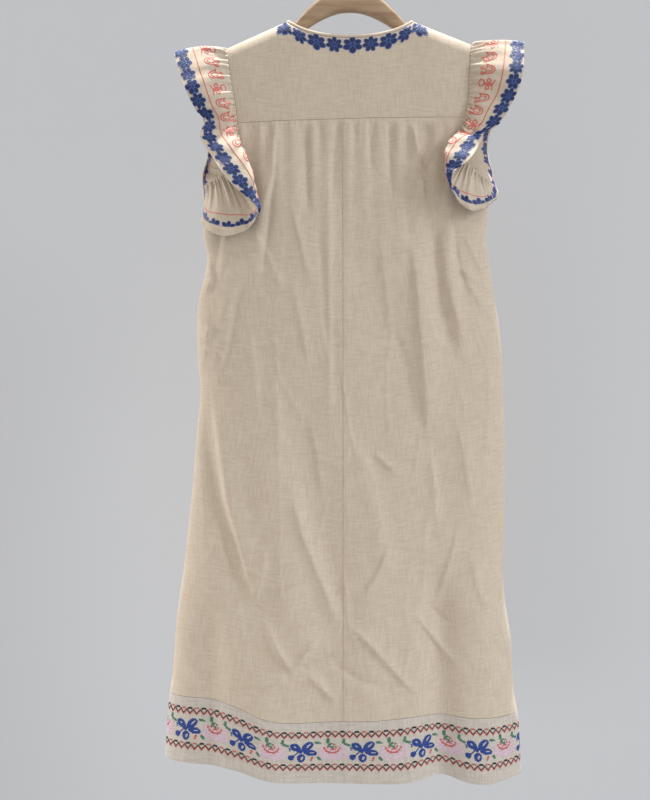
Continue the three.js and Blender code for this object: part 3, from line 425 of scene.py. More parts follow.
def crumple(x, z, seed, size):
    """Soft unevenness of washed cotton, as a sum of slanting waves."""
    numbers = np.random.default_rng(seed)
    total = np.zeros(np.broadcast(x, z).shape)
    for _ in range(9):
        length = numbers.uniform(46, 150)
        slant = numbers.uniform(-0.9, 0.9)
        start = numbers.uniform(0, 2 * math.pi)
        bend = numbers.uniform(6, 16) * np.sin(z / numbers.uniform(60, 130) + start)
        way = (x + bend) * math.cos(slant) + 0.4 * z * math.sin(slant)
        total += np.cos(2 * math.pi * way / length + start)
    return total * size / 3


def creased(x, z, seed):
    """Fine sharp creases here and there, along the lines where a wandering field is nought."""
    line = np.exp(-np.abs(crumple(x, z, seed, 1.0)) / 0.2)
    return line * smooth(crumple(x, z, seed + 1, 1.0) + 0.3)


def gathers(x, z, seam_z):
    """The irregular small pleats that a gathering thread draws, fading down the cloth."""
    below = np.maximum(seam_z - z, 0)
    wide = 2.0 * np.cos(2 * math.pi * (x + 5) / 26) * np.exp(-below / 80)
    close = 0.96 * np.cos(2 * math.pi * (x + 9 * np.sin(x / 31)) / 15.5) * np.exp(-below / 32)
    fine = 0.42 * np.cos(2 * math.pi * (x + 6 * np.sin(x / 17)) / 9.2) * np.exp(-below / 14)
    return smooth(below / 16) * (wide + close) + smooth(below / 3) * fine


def fullness(place):
    return (1 - np.minimum(1, np.abs(place)) ** 2.4) ** 0.55


def edge_x(side, z):
    armhole = armholes[side]
    return np.where(z > armhole["z"][-1], along(armhole, "x", "z", z), along(sides, side, "z", z))


YOKE_SEAM_Z = mix(YOKE_SEAM_LEFT_Z, YOKE_SEAM_RIGHT_Z, 0.5)
ALLOWANCE_WIDTH = 11


def back_relief(x, z):
    low = smooth((YOKE_SEAM_Z - z) / 500)
    relief = fold_height(back_folds, x, z) + 1.5 * fold_height(back_creases, x, z, sharp=True)
    past_seam = x - CENTRE_SEAM_X
    from_seam = np.abs(past_seam)
    pucker = 0.35 * np.cos(2 * math.pi * z / 8.5) * np.exp(-from_seam / 3)
    allowance = 0.5 * smooth((ALLOWANCE_WIDTH - past_seam) / 2) * (past_seam > 0)
    groove = -0.15 * np.exp(-from_seam / 1.6)
    relief = relief + gathers(x, z, YOKE_SEAM_Z) + pucker + allowance + groove
    worn = crumple(x, z, 4, 0.7 + 1.5 * low) + creased(x, z, 12) * (0.3 + 1.3 * low)
    return relief * smooth((YOKE_SEAM_Z - z) / 4) + worn


def front_relief(x, z):
    low = smooth((UNDERARM_LEFT_Z - z) / 500)
    wave = 6 * low * np.cos(2 * math.pi * (x - 14) / 96)
    creases = fold_height(front_creases, x, z, sharp=True) + 0.6 * gathers(x, z, YOKE_SEAM_Z)
    worn = crumple(x, z, 7, 0.5 + 0.8 * low) + creased(x, z, 15) * 0.5 * low
    return wave + creases * smooth((YOKE_SEAM_Z - z) / 4) + worn


def half_depth(face, x, z, left_end, right_end):
    left = along(sides, "left", "z", left_end)
    right = along(sides, "right", "z", right_end)
    full = fullness((x - left) / (right - left) * 2 - 1)
    relief = back_relief(x, z) if face == "back" else front_relief(x, z)
    return np.maximum(SEAM_GAP / 2, (along(depths, face, "z", z) + relief) * full)


BAND_LIFT_FROM_Z = -900


def hem_lift(face, across, z):
    ramp = smooth((BAND_LIFT_FROM_Z - z) / (BAND_LIFT_FROM_Z - BAND_TOP_Z))
    seam = along(hem_lifts, f"{face}_seam", "across", across)
    hem = along(hem_lifts, f"{face}_hem", "across", across)
    return ramp * mix(seam, hem, np.maximum(0, (BAND_TOP_Z - z) / (BAND_TOP_Z - HEM_Z)))


def cloth_points(face, across, left_end, right_end, z):
    x = mix(edge_x("left", left_end), edge_x("right", right_end), (across + 1) / 2)
    y = SIGNS[face] * half_depth(face, x, z, left_end, right_end)
    return np.stack(np.broadcast_arrays(x, y, z + hem_lift(face, across, z)), -1)


def shoulder_z(x):
    left = mix(NECK_POINT_Z, TIP_LEFT[1], (-x - NECK_HALF_WIDTH) / (-TIP_LEFT[0] - NECK_HALF_WIDTH))
    right = mix(NECK_POINT_Z, TIP_RIGHT[1], (x - NECK_HALF_WIDTH) / (TIP_RIGHT[0] - NECK_HALF_WIDTH))
    return np.where(x < 0, left, right)


def neck_share(x):
    return (1 - np.minimum(1, np.abs(x) / NECK_HALF_WIDTH) ** 2.4) ** 0.8


def rounded_over(depth):
    return np.sqrt(1 - (1 - np.clip(depth / 24, 0, 1)) ** 2)


NECK_DROP = {"back": 29, "front": 100}
NECK_STAND = {"back": 18, "front": 23}


def upper_points(face, across, below, share):
    """Cloth of the yoke: some depth below its upper edge, then a share of the way to the seam."""
    top_x = mix(TIP_LEFT[0], TIP_RIGHT[0], (across + 1) / 2)
    in_neck = np.abs(top_x) < NECK_HALF_WIDTH
    edge_z = np.where(in_neck, NECK_POINT_Z - NECK_DROP[face] * neck_share(top_x), shoulder_z(top_x))
    left_end = mix(TIP_LEFT[1] - below, YOKE_SEAM_LEFT_Z, share)
    right_end = mix(TIP_RIGHT[1] - below, YOKE_SEAM_RIGHT_Z, share)
    seam_z = mix(YOKE_SEAM_LEFT_Z, YOKE_SEAM_RIGHT_Z, (across + 1) / 2)
    z = mix(edge_z - below, seam_z, share)
    points = cloth_points(face, across, left_end, right_end, z)
    stand = NECK_STAND[face] * neck_share(top_x) ** 0.38
    half = np.maximum(SEAM_GAP / 2, mix(stand, np.abs(points[..., 1]), rounded_over(edge_z - z)))
    points[..., 1] = SIGNS[face] * half
    return points


def unit(v):
    return v / np.maximum(np.linalg.norm(v, axis=-1, keepdims=True), 1e-9)


def grid_normals(points, sign, closed=False):
    if closed:
        across = np.roll(points, -1, 1) - np.roll(points, 1, 1)
    else:
        across = np.gradient(points, axis=1)
    return unit(np.cross(across, np.gradient(points, axis=0)) * sign)


def cloth_object(name, points, sign, material, thickness, closed=False, flat_cut=False):
    """A sheet of cloth through a grid of points. Its map holds metres of cloth, for the weave."""
    rows, columns = points.shape[:2]
    if closed:
        points = np.concatenate([points, points[:, :1]], 1)
        columns += 1
    item = object_from(name, points.reshape(-1, 3), grid_faces(rows, columns, sign), material)
    over = np.cumsum(np.linalg.norm(np.diff(points, axis=1, prepend=points[:, :1]), axis=-1), 1)
    down = np.cumsum(np.linalg.norm(np.diff(points, axis=0, prepend=points[:1]), axis=-1), 0)
    over -= over[:, columns // 2 : columns // 2 + 1]
    places = (points[..., [0, 2]] if flat_cut else np.stack([over, down], -1)).reshape(-1, 2) * MM
    layer = item.data.uv_layers.new(name="cloth")
    corners, corner_edges = np.zeros((2, len(item.data.loops)), int)
    item.data.loops.foreach_get("vertex_index", corners)
    item.data.loops.foreach_get("edge_index", corner_edges)
    layer.data.foreach_set("uv", places[corners].ravel())
    raw_edge = np.bincount(corner_edges, minlength=len(item.data.edges)) == 1
    item.data.edges.foreach_set("use_edge_sharp", raw_edge)
    shell = item.modifiers.new("thickness", "SOLIDIFY")
    shell.thickness = thickness * MM
    shell.offset = -1
    return item


def sampled(grid, row, column, closed):
    """The grid's value at fractional rows and columns."""
    rows, columns = grid.shape[:2]
    row = np.clip(row, 0, rows - 1.001)
    column = column % columns if closed else np.clip(column, 0, columns - 1.001)
    i = np.floor(row).astype(int)
    j = np.floor(column).astype(int)
    n = (j + 1) % columns
    k = (column - j)[..., None]
    upper, lower = (mix(grid[r, j], grid[r, n], k) for r in (i, i + 1))
    return mix(upper, lower, (row - i)[..., None])


def running_length(line, closed=False):
    """Running length along a line of points, in millimetres."""
    if closed:
        line = np.concatenate([line, line[:1]])
    return np.concatenate([[0], np.cumsum(np.linalg.norm(np.diff(line, axis=0), axis=-1))])


STITCH_SHARE = 0.7
STITCH_HALF_WIDTH = 0.28
STITCH_HEIGHT = 0.4


def stitch_row(name, cloth, rows, columns, pitch):
    """A row of short stitches, each a little raised bar, along a path of grid rows and columns."""
    points, normals, closed = cloth
    path = sampled(points, rows, columns, closed)
    out = sampled(normals, rows, columns, closed)
    length = running_length(path)
    starts = np.arange(pitch / 2, length[-1] - pitch, pitch)

    def at(values, place):
        return np.stack([np.interp(place, length, values[:, k]) for k in range(3)], -1)

    first, last = at(path, starts), at(path, starts + pitch * STITCH_SHARE)
    up = unit(at(out, starts + pitch * STITCH_SHARE / 2))
    half = unit(np.cross(last - first, up)) * STITCH_HALF_WIDTH
    inner, outer = mix(first, last, 0.2), mix(first, last, 0.8)
    low, high = up * 0.05, up * STITCH_HEIGHT
    corners = [first + low, inner - half + low, inner + high, inner + half + low]
    corners += [outer - half + low, outer + high, outer + half + low, last + low]
    one = [(0, 1, 2), (0, 2, 3), (1, 4, 5, 2), (2, 5, 6, 3), (4, 7, 5), (5, 7, 6)]
    faces = [tuple(8 * n + k for k in face) for n in range(len(starts)) for face in one]
    item = object_from(name, np.stack(corners, 1).reshape(-1, 3), faces, stitch_thread)
    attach(item, "root")


def roughened(material, height, strength, distance):
    """Small relief in a material, as high as another node's output."""
    tree = material.node_tree
    relief = {"Height": height, "Strength": strength, "Distance": distance}
    normal = add_node(tree, "Bump", relief).outputs["Normal"]
    set_inputs(tree, tree.nodes["Principled BSDF"], {"Normal": normal})


THREADS_PER_METRE = 640
SLUBS_PER_METRE = 34


def woven(name, colour, deep):
    """Slubbed plain weave: long thin thick places of thread both ways, a little darker between."""
    material = plain_material(name, colour, 0.88)
    tree = material.node_tree
    shader = tree.nodes["Principled BSDF"]
    place = add_node(tree, "UVMap", uv_map="cloth").outputs["UV"]
    split = add_node(tree, "SeparateXYZ", {"Vector": place}).outputs

    def math_node(operation, *values):
        return add_node(tree, "Math", dict(enumerate(values)), operation=operation).outputs["Value"]

    def threads(across, down):
        """Each thread has slubs of its own: a smooth random value down it, unlike its neighbours'."""
        number = math_node("FLOOR", math_node("MULTIPLY", across, THREADS_PER_METRE))
        shift = add_node(tree, "TexWhiteNoise", {"W": number}, noise_dimensions="1D").outputs["Value"]
        along_it = math_node("MULTIPLY_ADD", down, SLUBS_PER_METRE, math_node("MULTIPLY", shift, 900))
        slub = {"W": along_it, "Scale": 1, "Detail": 1}
        return add_node(tree, "TexNoise", slub, noise_dimensions="1D").outputs["Fac"]

    both = math_node("ADD", threads(split["X"], split["Y"]), threads(split["Y"], split["X"]))
    span = {"Value": both, "From Min": 0.75, "From Max": 1.25}
    scaled = add_node(tree, "MapRange", span).outputs["Result"]
    soft = {"Sheen Weight": 0.12, "Sheen Roughness": 0.6, "Specular IOR Level": 0.25}
    set_inputs(tree, shader, {"Base Color": colour_ramp(tree, scaled, deep, colour), **soft})
    roughened(material, both, 0.3, 0.0005)
    return material


cotton = woven("slubbed_cotton", (0.605, 0.522, 0.432), (0.54, 0.455, 0.367))
stitch_thread = plain_material("stitch_thread", (0.66, 0.57, 0.47), 0.7)
CLOTH_THICKNESS = 0.9
YOKE_EDGE_ROWS = [0, 0.8, 1.8, 3, 4.5, 6.5, 9, 12, 16, 20, 24]
NECK_ENDS_ACROSS = (-0.5246, 0.5332)
SHOULDER_COLUMNS = 48
NECK_COLUMNS = 110
YOKE_ROWS = 44
SEAM_STITCH = 3.2


def yoke_grid(face):
    """Rows from the neck and shoulders to the seam. Columns crowd where the neck turns down."""
    left, right = NECK_ENDS_ACROSS
    shoulder_left = np.linspace(-1, left, SHOULDER_COLUMNS, endpoint=False)
    round_neck = np.linspace(0, math.pi, NECK_COLUMNS, endpoint=False)
    neck = mix(left, right, (1 - np.cos(round_neck)) / 2)
    shoulder_right = np.linspace(right, 1, SHOULDER_COLUMNS)
    across = np.concatenate([shoulder_left, neck, shoulder_right])[None, :]
    shares = np.linspace(0, 1, YOKE_ROWS)[1:]
    rows = [upper_points(face, across, below, 0.0) for below in YOKE_EDGE_ROWS]
    rows += [upper_points(face, across, YOKE_EDGE_ROWS[-1], share) for share in shares]
    return np.concatenate(rows, 0)


yokes = {}
for face, area in (("back", 0.0475), ("front", 0.038)):
    points = yoke_grid(face)
    yokes[face] = (points, grid_normals(points, SIGNS[face]), False)
    name = f"{face}_yoke_cloth"
    item = cloth_object(name, points, SIGNS[face], cotton, CLOTH_THICKNESS, flat_cut=True)
    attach(item, "root")
    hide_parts(f"{face}_yoke")
    last_row, last_column = points.shape[0] - 1, points.shape[1] - 1
    down_edge = np.linspace(9, last_row - 1, 90)
    along_seam = np.linspace(0.5, last_column - 0.5, 300)
    for place, row, column in (
        ("seam", np.full(300, last_row - 1.2), along_seam),
        ("left", down_edge, np.full(90, 2.2)),
        ("right", down_edge, np.full(90, last_column - 2.2)),
    ):
        name = f"yoke_{place}_stitches_{face}"
        stitch_row(name, yokes[face], row, column, SEAM_STITCH)


# Skirt. Two back halves joined by a centre seam and one front width, all of the same slubbed
# cotton, gathered into the yoke and closed by side seams. The cloth hangs in soft, creased folds.
ROWS_TO_UNDERARM = 46


def skirt_grid(face, ends, columns, row_step):
    """Rows from the yoke seam past the underarms to the hem band, columns between two ends."""
    shares = 1 - (1 - np.linspace(0, 1, ROWS_TO_UNDERARM)) ** 1.4
    lower = np.arange(UNDERARM_LEFT_Z - 3.0, BAND_TOP_Z, -row_step)
    left_z, right_z = (
        np.concatenate([mix(seam_z - 2 * SEAM_GAP, underarm_z, shares), lower, [BAND_TOP_Z]])[:, None]
        for seam_z, underarm_z in (
            (YOKE_SEAM_LEFT_Z, UNDERARM_LEFT_Z),
            (YOKE_SEAM_RIGHT_Z, UNDERARM_RIGHT_Z),
        )
    )
    place = np.linspace(0, 1, columns)[None, :]
    left_across, right_across = -1.0, 1.0
    left, right = edge_x("left", left_z), edge_x("right", right_z)
    if ends == "left":
        right_across = (CENTRE_SEAM_X - SEAM_LINE / 2 - left) / (right - left) * 2 - 1
        place = place**1.15
    elif ends == "right":
        left_across = (CENTRE_SEAM_X + SEAM_LINE / 2 - left) / (right - left) * 2 - 1
    across = mix(left_across, right_across, place)
    return cloth_points(face, across, left_z, right_z, mix(left_z, right_z, (across + 1) / 2))


for name, node, face, ends, columns, row_step, flat, area in (
    ("back_left_cloth", "back_left_panel", "back", "left", 88, 4.0, (0.275, 0.895), 0.212),
    ("back_right_cloth", "back_right_panel", "back", "right", 96, 4.0, (0.285, 0.895), 0.222),
    ("front_cloth", "front_panel", "front", "whole", 150, 5.0, (0.545, 0.895), 0.446),
):
    points = skirt_grid(face, ends, columns, row_step)
    item = cloth_object(name, points, SIGNS[face], cotton, CLOTH_THICKNESS)
    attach(item, "root")
    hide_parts(node)


# Hem band. A stiffer, greyer cotton strip sewn round the foot of the skirt, a little thicker,
# with a narrow hem stitched twice along its lower edge.
BAND_STANDS_OUT = 0.2
BAND_THICKNESS = 1.1
BAND_HEIGHT = BAND_TOP_Z - HEM_Z
HEM_TURN_AT = 82
HEM_STITCHES_AT = (84.2, 87.4)
HEM_STITCH = 3.0
turned_rows = [83.4, 84.2, 85, 86.6, 87.4, 88.2, 90, 92, 94, 95.2, BAND_HEIGHT]
BAND_DOWN = np.concatenate([np.linspace(0, HEM_TURN_AT, 27), turned_rows])


def band_grid(face, columns):
    z = np.interp(BAND_DOWN, [0, BAND_HEIGHT], [BAND_TOP_Z - 2 * SEAM_GAP, HEM_Z])[:, None]
    across = np.linspace(-1, 1, columns)[None, :]
    points = cloth_points(face, across, z, z, z)
    fold = 0.5 * smooth((BAND_DOWN - HEM_TURN_AT) / 2.4) - 0.5 * smooth((BAND_DOWN - 93) / 3)
    for place in HEM_STITCHES_AT:
        fold = fold - 0.35 * np.exp(-(((BAND_DOWN - place) / 0.9) ** 2))
    points = points + grid_normals(points, SIGNS[face]) * (BAND_STANDS_OUT + fold)[:, None, None]
    points[:, [0, -1], 1] = SIGNS[face] * SEAM_GAP / 2
    return points


band_cotton = woven("band_cotton", (0.575, 0.535, 0.495), (0.485, 0.447, 0.408))
bands = {}
for face, columns in (("back", 230), ("front", 200)):
    points = band_grid(face, columns)
    bands[face] = (points, grid_normals(points, SIGNS[face]), False)
    item = cloth_object(f"hem_band_{face}_cloth", points, SIGNS[face], band_cotton, BAND_THICKNESS)
    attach(item, "root")
    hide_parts(f"hem_band_{face}")
    for place in HEM_STITCHES_AT:
        row = np.full(400, np.interp(place, BAND_DOWN, np.arange(len(BAND_DOWN))))
        column = np.linspace(1, columns - 2, 400)
        name = f"hem_stitches_{face}_{place:.0f}"
        stitch_row(name, bands[face], row, column, HEM_STITCH)


# Armhole ruffles. A strip of the skirt's cotton, cut on a curve, gathered closely round each
# armhole and hemmed. It stands off the shoulder, doubles back below the arm and climbs the front.

# A station is the armhole height it is sewn at, then x, y, z of its middle and of its edge. The
# heights fall down the back to the underarm and then climb the front.
ruffle_left_stations = [
    (-156, -225, 0, -152, -264, 2, -161),
    (-182, -214, -20, -185, -254, -20, -193),
    (-212, -204, -28, -217, -242, -32, -227),
    (-240, -195, -30, -247, -228, -26, -255),
    (-261, -187, -26, -266, -216, -15, -268),
    (-279, -180, -34, -291, -222, -26, -293),
    (-297, -163, -46, -318, -202, -48, -328),
    (-312, -146, -46, -345, -177, -60, -365),
    (-327, -139, -44, -372, -152, -57, -389),
    (-335, -138, -45, -390, -136, -57, -402),
    (-341, -150, -36, -400, -138, -48, -421),
    (-347, -167, -34, -399, -160, -38, -437),
    (-355, -189, -31, -397, -191, -39, -442),
    (-361, -211, -19, -393, -217, -24, -424),
    (-364, -216, 2, -377, -219, 8, -394),
    (-356, -217, 24, -350, -224, 32, -340),
    (-334, -210, 36, -322, -217, 44, -304),
    (-300, -199, 36, -292, -223, 44, -275),
    (-264, -203, 30, -257, -224, 32, -250),
    (-223, -207, 28, -215, -239, 34, -216),
    (-185, -218, 18, -179, -255, 22, -184),
]
ruffle_right_stations = [
    (-150, 222, 0, -144, 261, 2, -147),
    (-176, 217, -18, -176, 257, -18, -179),
    (-200, 212, -26, -205, 252, -28, -210),
    (-222, 207, -22, -228, 243, -25, -235),
    (-243, 194, -27, -253, 230, -26, -259),
    (-261, 185, -29, -274, 218, -19, -276),
    (-276, 173, -28, -289, 201, -14, -284),
    (-288, 150, -42, -302, 190, -34, -305),
    (-300, 138, -48, -322, 172, -54, -334),
    (-312, 137, -48, -341, 152, -61, -350),
    (-322, 141, -46, -354, 145, -59, -359),
    (-327, 151, -39, -362, 146, -51, -377),
    (-331, 162, -36, -367, 157, -42, -393),
    (-341, 175, -34, -372, 176, -40, -406),
    (-349, 193, -27, -376, 197, -34, -401),
    (-355, 207, -15, -375, 211, -20, -388),
    (-358, 214, 2, -370, 221, 6, -378),
    (-350, 214, 22, -350, 224, 28, -362),
    (-331, 208, 34, -327, 220, 42, -340),
    (-300, 200, 36, -294, 213, 44, -290),
    (-258, 203, 30, -251, 224, 32, -252),
    (-220, 213, 28, -215, 246, 34, -218),
    (-182, 220, 18, -175, 257, 22, -180),
]
RUFFLE_THICKNESS = 0.8
RUFFLE_COLUMNS = 600
HALF_WALL = RUFFLE_THICKNESS / 2
# How far its seam lies from the cloth's edge into the armhole and off the cloth's face, each above
# and below, and the half depth from which that face looks straight out.
SEAM_INTO_HOLE = (0.9, 2.6)
SEAM_OFF_FACE = (0.6, 1.7)
FULL_TURN_DEPTH = 18
ARMHOLE_MIDDLE = (205, 0, -270)
TIGHT_GATHERS = 84
WIDE_GATHERS = 31
FLUTES = 17


def loop_values(table, place):
    """Smooth values round a closed table of stations."""
    i = np.floor(place).astype(int)
    a, b, c, d = (table[(i + n) % len(table)] for n in (-1, 0, 1, 2))
    return cubic((place - i)[:, None], b, c, (c - a) / 2, (d - b) / 2)


def ruffle_seam(side, stations, place):
    """Where the ruffle is sewn: just off the cloth's edge and a little outside its face."""
    table = armholes[side]
    out_x = -1 if side == "left" else 1
    sewn = stations[:, 0]
    i = np.floor(place).astype(int)
    z = np.maximum(mix(sewn[i], sewn[(i + 1) % len(sewn)], place - i), table["z"][-1])
    x = along(table, "x", "z", z)
    way = np.where(i < np.argmin(sewn), SIGNS["back"], SIGNS["front"])
    half = np.where(way < 0, half_depth("back", x, z, z, z), half_depth("front", x, z, z, z))
    half = np.maximum(SEAM_GAP / 2, half * rounded_over(table["z"][0] - z))
    edge = np.stack([x, way * half, z], -1)
    aside = 1 - np.minimum(1, half / FULL_TURN_DEPTH)
    low = smooth((-250 - z) / 60)
    outward = np.stack([out_x * aside * low, way * half / FULL_TURN_DEPTH, aside * (1 - low)], -1)
    outward = unit(outward)
    hole = np.array(ARMHOLE_MIDDLE) * (out_x, 1, 1) - edge
    hole = unit(hole - outward * np.sum(hole * outward, -1, keepdims=True))
    lower = smooth((-285 - z) / 30)[:, None]
    return edge + hole * mix(*SEAM_INTO_HOLE, lower) + outward * mix(*SEAM_OFF_FACE, lower)


def ruffle_grid(side, stations, seed):
    """The ruffle from its seam to its edge, and how far down the strip each row lies."""
    numbers = np.random.default_rng(seed)
    share = np.arange(RUFFLE_COLUMNS) / RUFFLE_COLUMNS
    place = share * len(stations)
    w = np.concatenate([np.linspace(0, 0.94, 30), [0.955, 0.97, 0.985, 1.0]])[:, None]
    points = (
        ruffle_seam(side, stations, place) * ((1 - w) * (1 - 2 * w))[..., None]
        + loop_values(stations[:, 1:4], place) * (4 * w * (1 - w))[..., None]
        + loop_values(stations[:, 4:7], place) * (w * (2 * w - 1))[..., None]
    )
    turn = 2 * math.pi * share[None, :]
    drift = sum(
        numbers.uniform(0.1, 0.35) * np.sin(n * turn + numbers.uniform(0, 6)) for n in (3, 5, 8, 13)
    )
    tight = 2.0 * np.cos(TIGHT_GATHERS * (turn + drift * 0.05)) * np.exp(-w / 0.16) * smooth(w / 0.04)
    wide = 2.6 * np.cos(WIDE_GATHERS * (turn + drift * 0.09)) * np.exp(-w / 0.34) * smooth(w / 0.1)
    flute = 0.9 * np.cos(FLUTES * turn + 3 * drift) * smooth((w - 0.25) / 0.6)
    rolled = 0.3 * np.exp(-(((w - 0.985) / 0.012) ** 2)) - 0.35 * np.exp(-(((w - 0.955) / 0.01) ** 2))
    height = (tight + wide + flute + rolled)[..., None]
    return points + grid_normals(points, 1, closed=True) * height, w[:, 0]


ruffles = {}
for side, stations, sign, seed in (
    ("left", ruffle_left_stations, -1, 21),
    ("right", ruffle_right_stations, 1, 22),
):
    points, widths = ruffle_grid(side, np.array(stations, float), seed)
    item = cloth_object(f"ruffle_{side}_cloth", points, sign, cotton, RUFFLE_THICKNESS, closed=True)
    item.modifiers["thickness"].offset = 0
    ruffles[side] = (item, points, grid_normals(points, sign, closed=True), widths)
    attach(item, "root")
    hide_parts(f"ruffle_{side}")


# Embroidery on the ruffles. Along the edge runs a chain of blue flowers in thick glossy thread,
# daisies of seven petals and blooms of six, each petal padded and edged by couched cord. A coral
# line and a row of coral motifs run between it and the seam.
def laid_on(cloth, row, column, shape, turn):
    """Points of a flat shape (across, down, lift), in millimetres, laid on a cloth about one place.

    Widths are measured along the cloth's row and heights along its column."""
    points, normals, closed = cloth
    over = running_length(points[int(round(row))], closed)
    columns = np.arange(len(over))
    if closed:
        columns = np.arange(3 * len(over) - 2) - len(over) + 1
        over = np.concatenate([over[:-1] - over[-1], over[:-1], over + over[-1]])
    down = running_length(points[:, int(round(column)) % points.shape[1]])
    rows = np.arange(len(down))
    a = shape[:, 0] * math.cos(turn) - shape[:, 1] * math.sin(turn) + np.interp(column, columns, over)
    b = shape[:, 0] * math.sin(turn) + shape[:, 1] * math.cos(turn) + np.interp(row, rows, down)
    at = (np.interp(b, down, rows), np.interp(a, over, columns), closed)
    return sampled(points, *at) + unit(sampled(normals, *at)) * shape[:, 2:3]


def petal_shape(angle, reach, long, wide):
    """A domed pad and the cord round it: points, faces and the material number of each face."""
    turn = np.linspace(0, 2 * math.pi, PETAL_SIDES, endpoint=False)
    points = [(reach, 0, PETAL_HEIGHT)]
    for scale, lift in petal_rings:
        for t in turn:
            x, y = long * scale * math.cos(t), wide * scale * math.sin(t)
            points.append((reach + x, y, lift * PETAL_HEIGHT))
    faces = [(0, 1 + k, 1 + (k + 1) % PETAL_SIDES) for k in range(PETAL_SIDES)]
    rings = grid_faces(len(petal_rings), PETAL_SIDES, -1, closed=True)
    faces += [tuple(1 + corner for corner in face) for face in rings]
    colours = [PAD] * 2 * PETAL_SIDES + [CORD] * 2 * PETAL_SIDES
    c, s = math.cos(math.radians(angle)), math.sin(math.radians(angle))
    return [(x * c - y * s, x * s + y * c, lift) for x, y, lift in points], faces, colours


def gathered_shapes(parts):
    """One shape from several (points, faces, colours)."""
    points, faces, colours = [], [], []
    for p, f, c in parts:
        faces += [tuple(len(points) + k for k in face) for face in f]
        points += list(p)
        colours += list(c)
    return np.array(points, float), faces, colours


def thread_material(name, colour, roughness=0.5):
    material = plain_material(name, colour, roughness)
    tree = material.node_tree
    shine = {"Sheen Weight": 0.06, "Sheen Roughness": 0.4}
    set_inputs(tree, tree.nodes["Principled BSDF"], shine)
    place = add_node(tree, "TexCoord").outputs["Object"]
    strands = add_node(tree, "TexNoise", {"Vector": place, "Scale": 700, "Detail": 1}).outputs["Fac"]
    roughened(material, strands, 0.5, 0.0004)
    return material


def embroidered(name, cloth, places, materials, lift=1.0):
    """One mesh of many shapes. A place is (row, column, shape, size along, size down, turn)."""
    points, faces, colours = gathered_shapes([
        (laid_on(cloth, row, column, shape[0] * (along_size, down_size, lift), turn), *shape[1:])
        for row, column, shape, along_size, down_size, turn in places
    ])
    item = object_from(name, points, faces, materials)
    item.data.polygons.foreach_set("material_index", colours)
    return item


def thread_line(name, cloth, row, width, height):
    """One couched coral thread round a row of a ruffle."""
    points, normals, closed = cloth
    columns = np.arange(0, RUFFLE_COLUMNS, 2.5)
    rows = np.full(len(columns), row)
    middle = sampled(points, rows, columns, closed)
    out = unit(sampled(normals, rows, columns, closed))
    way = unit(np.roll(middle, -1, 0) - np.roll(middle, 1, 0))
    side = np.cross(way, out) * width / 2
    line = np.stack([middle - side + out * 0.1, middle + out * height, middle + side + out * 0.1])
    faces = grid_faces(3, len(columns), 1, closed=True)
    return object_from(name, line.reshape(-1, 3), faces, coral_thread)


# A petal, across a flower of half width 1: its angle, reach, half length and half width. Its rings
# are shares of its size and height: two of the pad and two of the cord.
PETAL_HEIGHT = 0.78
PETAL_SIDES = 8
PAD, CORD = 0, 1
petal_rings = [(0.6, 0.8), (0.92, 0.45), (1.04, 1), (1.16, 0.1 / 1.3)]
daisy_petals = [(15 + 360 / 7 * k, 0.58, 0.40, 0.265) for k in range(7)] + [(0, 0, 0.2, 0.2)]
bloom_petals = [
    (90, 0.55, 0.42, 0.34),
    (24, 0.56, 0.40, 0.32),
    (156, 0.56, 0.40, 0.32),
    (-34, 0.60, 0.34, 0.28),
    (-146, 0.60, 0.34, 0.28),
    (-90, 0.58, 0.38, 0.28),
    (0, 0, 0.2, 0.2),
]
daisy = gathered_shapes([petal_shape(*petal) for petal in daisy_petals])
bloom = gathered_shapes([petal_shape(*petal) for petal in bloom_petals])
petal_thread = thread_material("petal_thread", (0.007, 0.016, 0.085))
cord_thread = thread_material("cord_thread", (0.04, 0.12, 0.42))
coral_thread = thread_material("coral_thread", (0.60, 0.13, 0.11), 0.6)

# Coral motifs, in millimetres along the ruffle and down it: a round tulip pot with buds, and a sprig.
pot_lines = [
    ([(-5.8, 1), (-5.2, 5.4), (-2.8, 8.6), (0, 9.6), (2.8, 8.6), (5.2, 5.4), (5.8, 1)], False),
    ([(-3, 1.6), (-2.4, 4.4), (0, 6), (2.4, 4.4), (3, 1.6)], False),
    ([(-5.8, 1), (-7.2, -4), (-3, -1.2), (0, -6.4), (3, -1.2), (7.2, -4), (5.8, 1)], False),
    ([(0, -6.4), (-1.8, -9), (0, -11.4), (1.8, -9)], True),
    ([(6, -4.6), (8.8, -6.4), (8, -9.8), (5, -8.4)], True),
]
sprig_lines = [
    ([(-1.0, 9), (-1.0, -3.6)], False),
    ([(1.0, 9), (1.0, -3.6)], False),
    ([(-6.4, 10.6), (0, 8), (6.4, 10.6)], False),
    ([(-1.2, 4), (-5.4, 5.6), (-8, 1.6), (-4.2, 0)], True),
    ([(1.2, 4), (5.4, 5.6), (8, 1.6), (4.2, 0)], True),
    ([(-3.6, -4), (-4.8, -8.6), (0, -11.4), (4.8, -8.6), (3.6, -4)], True),
]
CORAL_WIDTH = 1.6
CORAL_HEIGHT = 0.6
LINE_STEP = 2.2


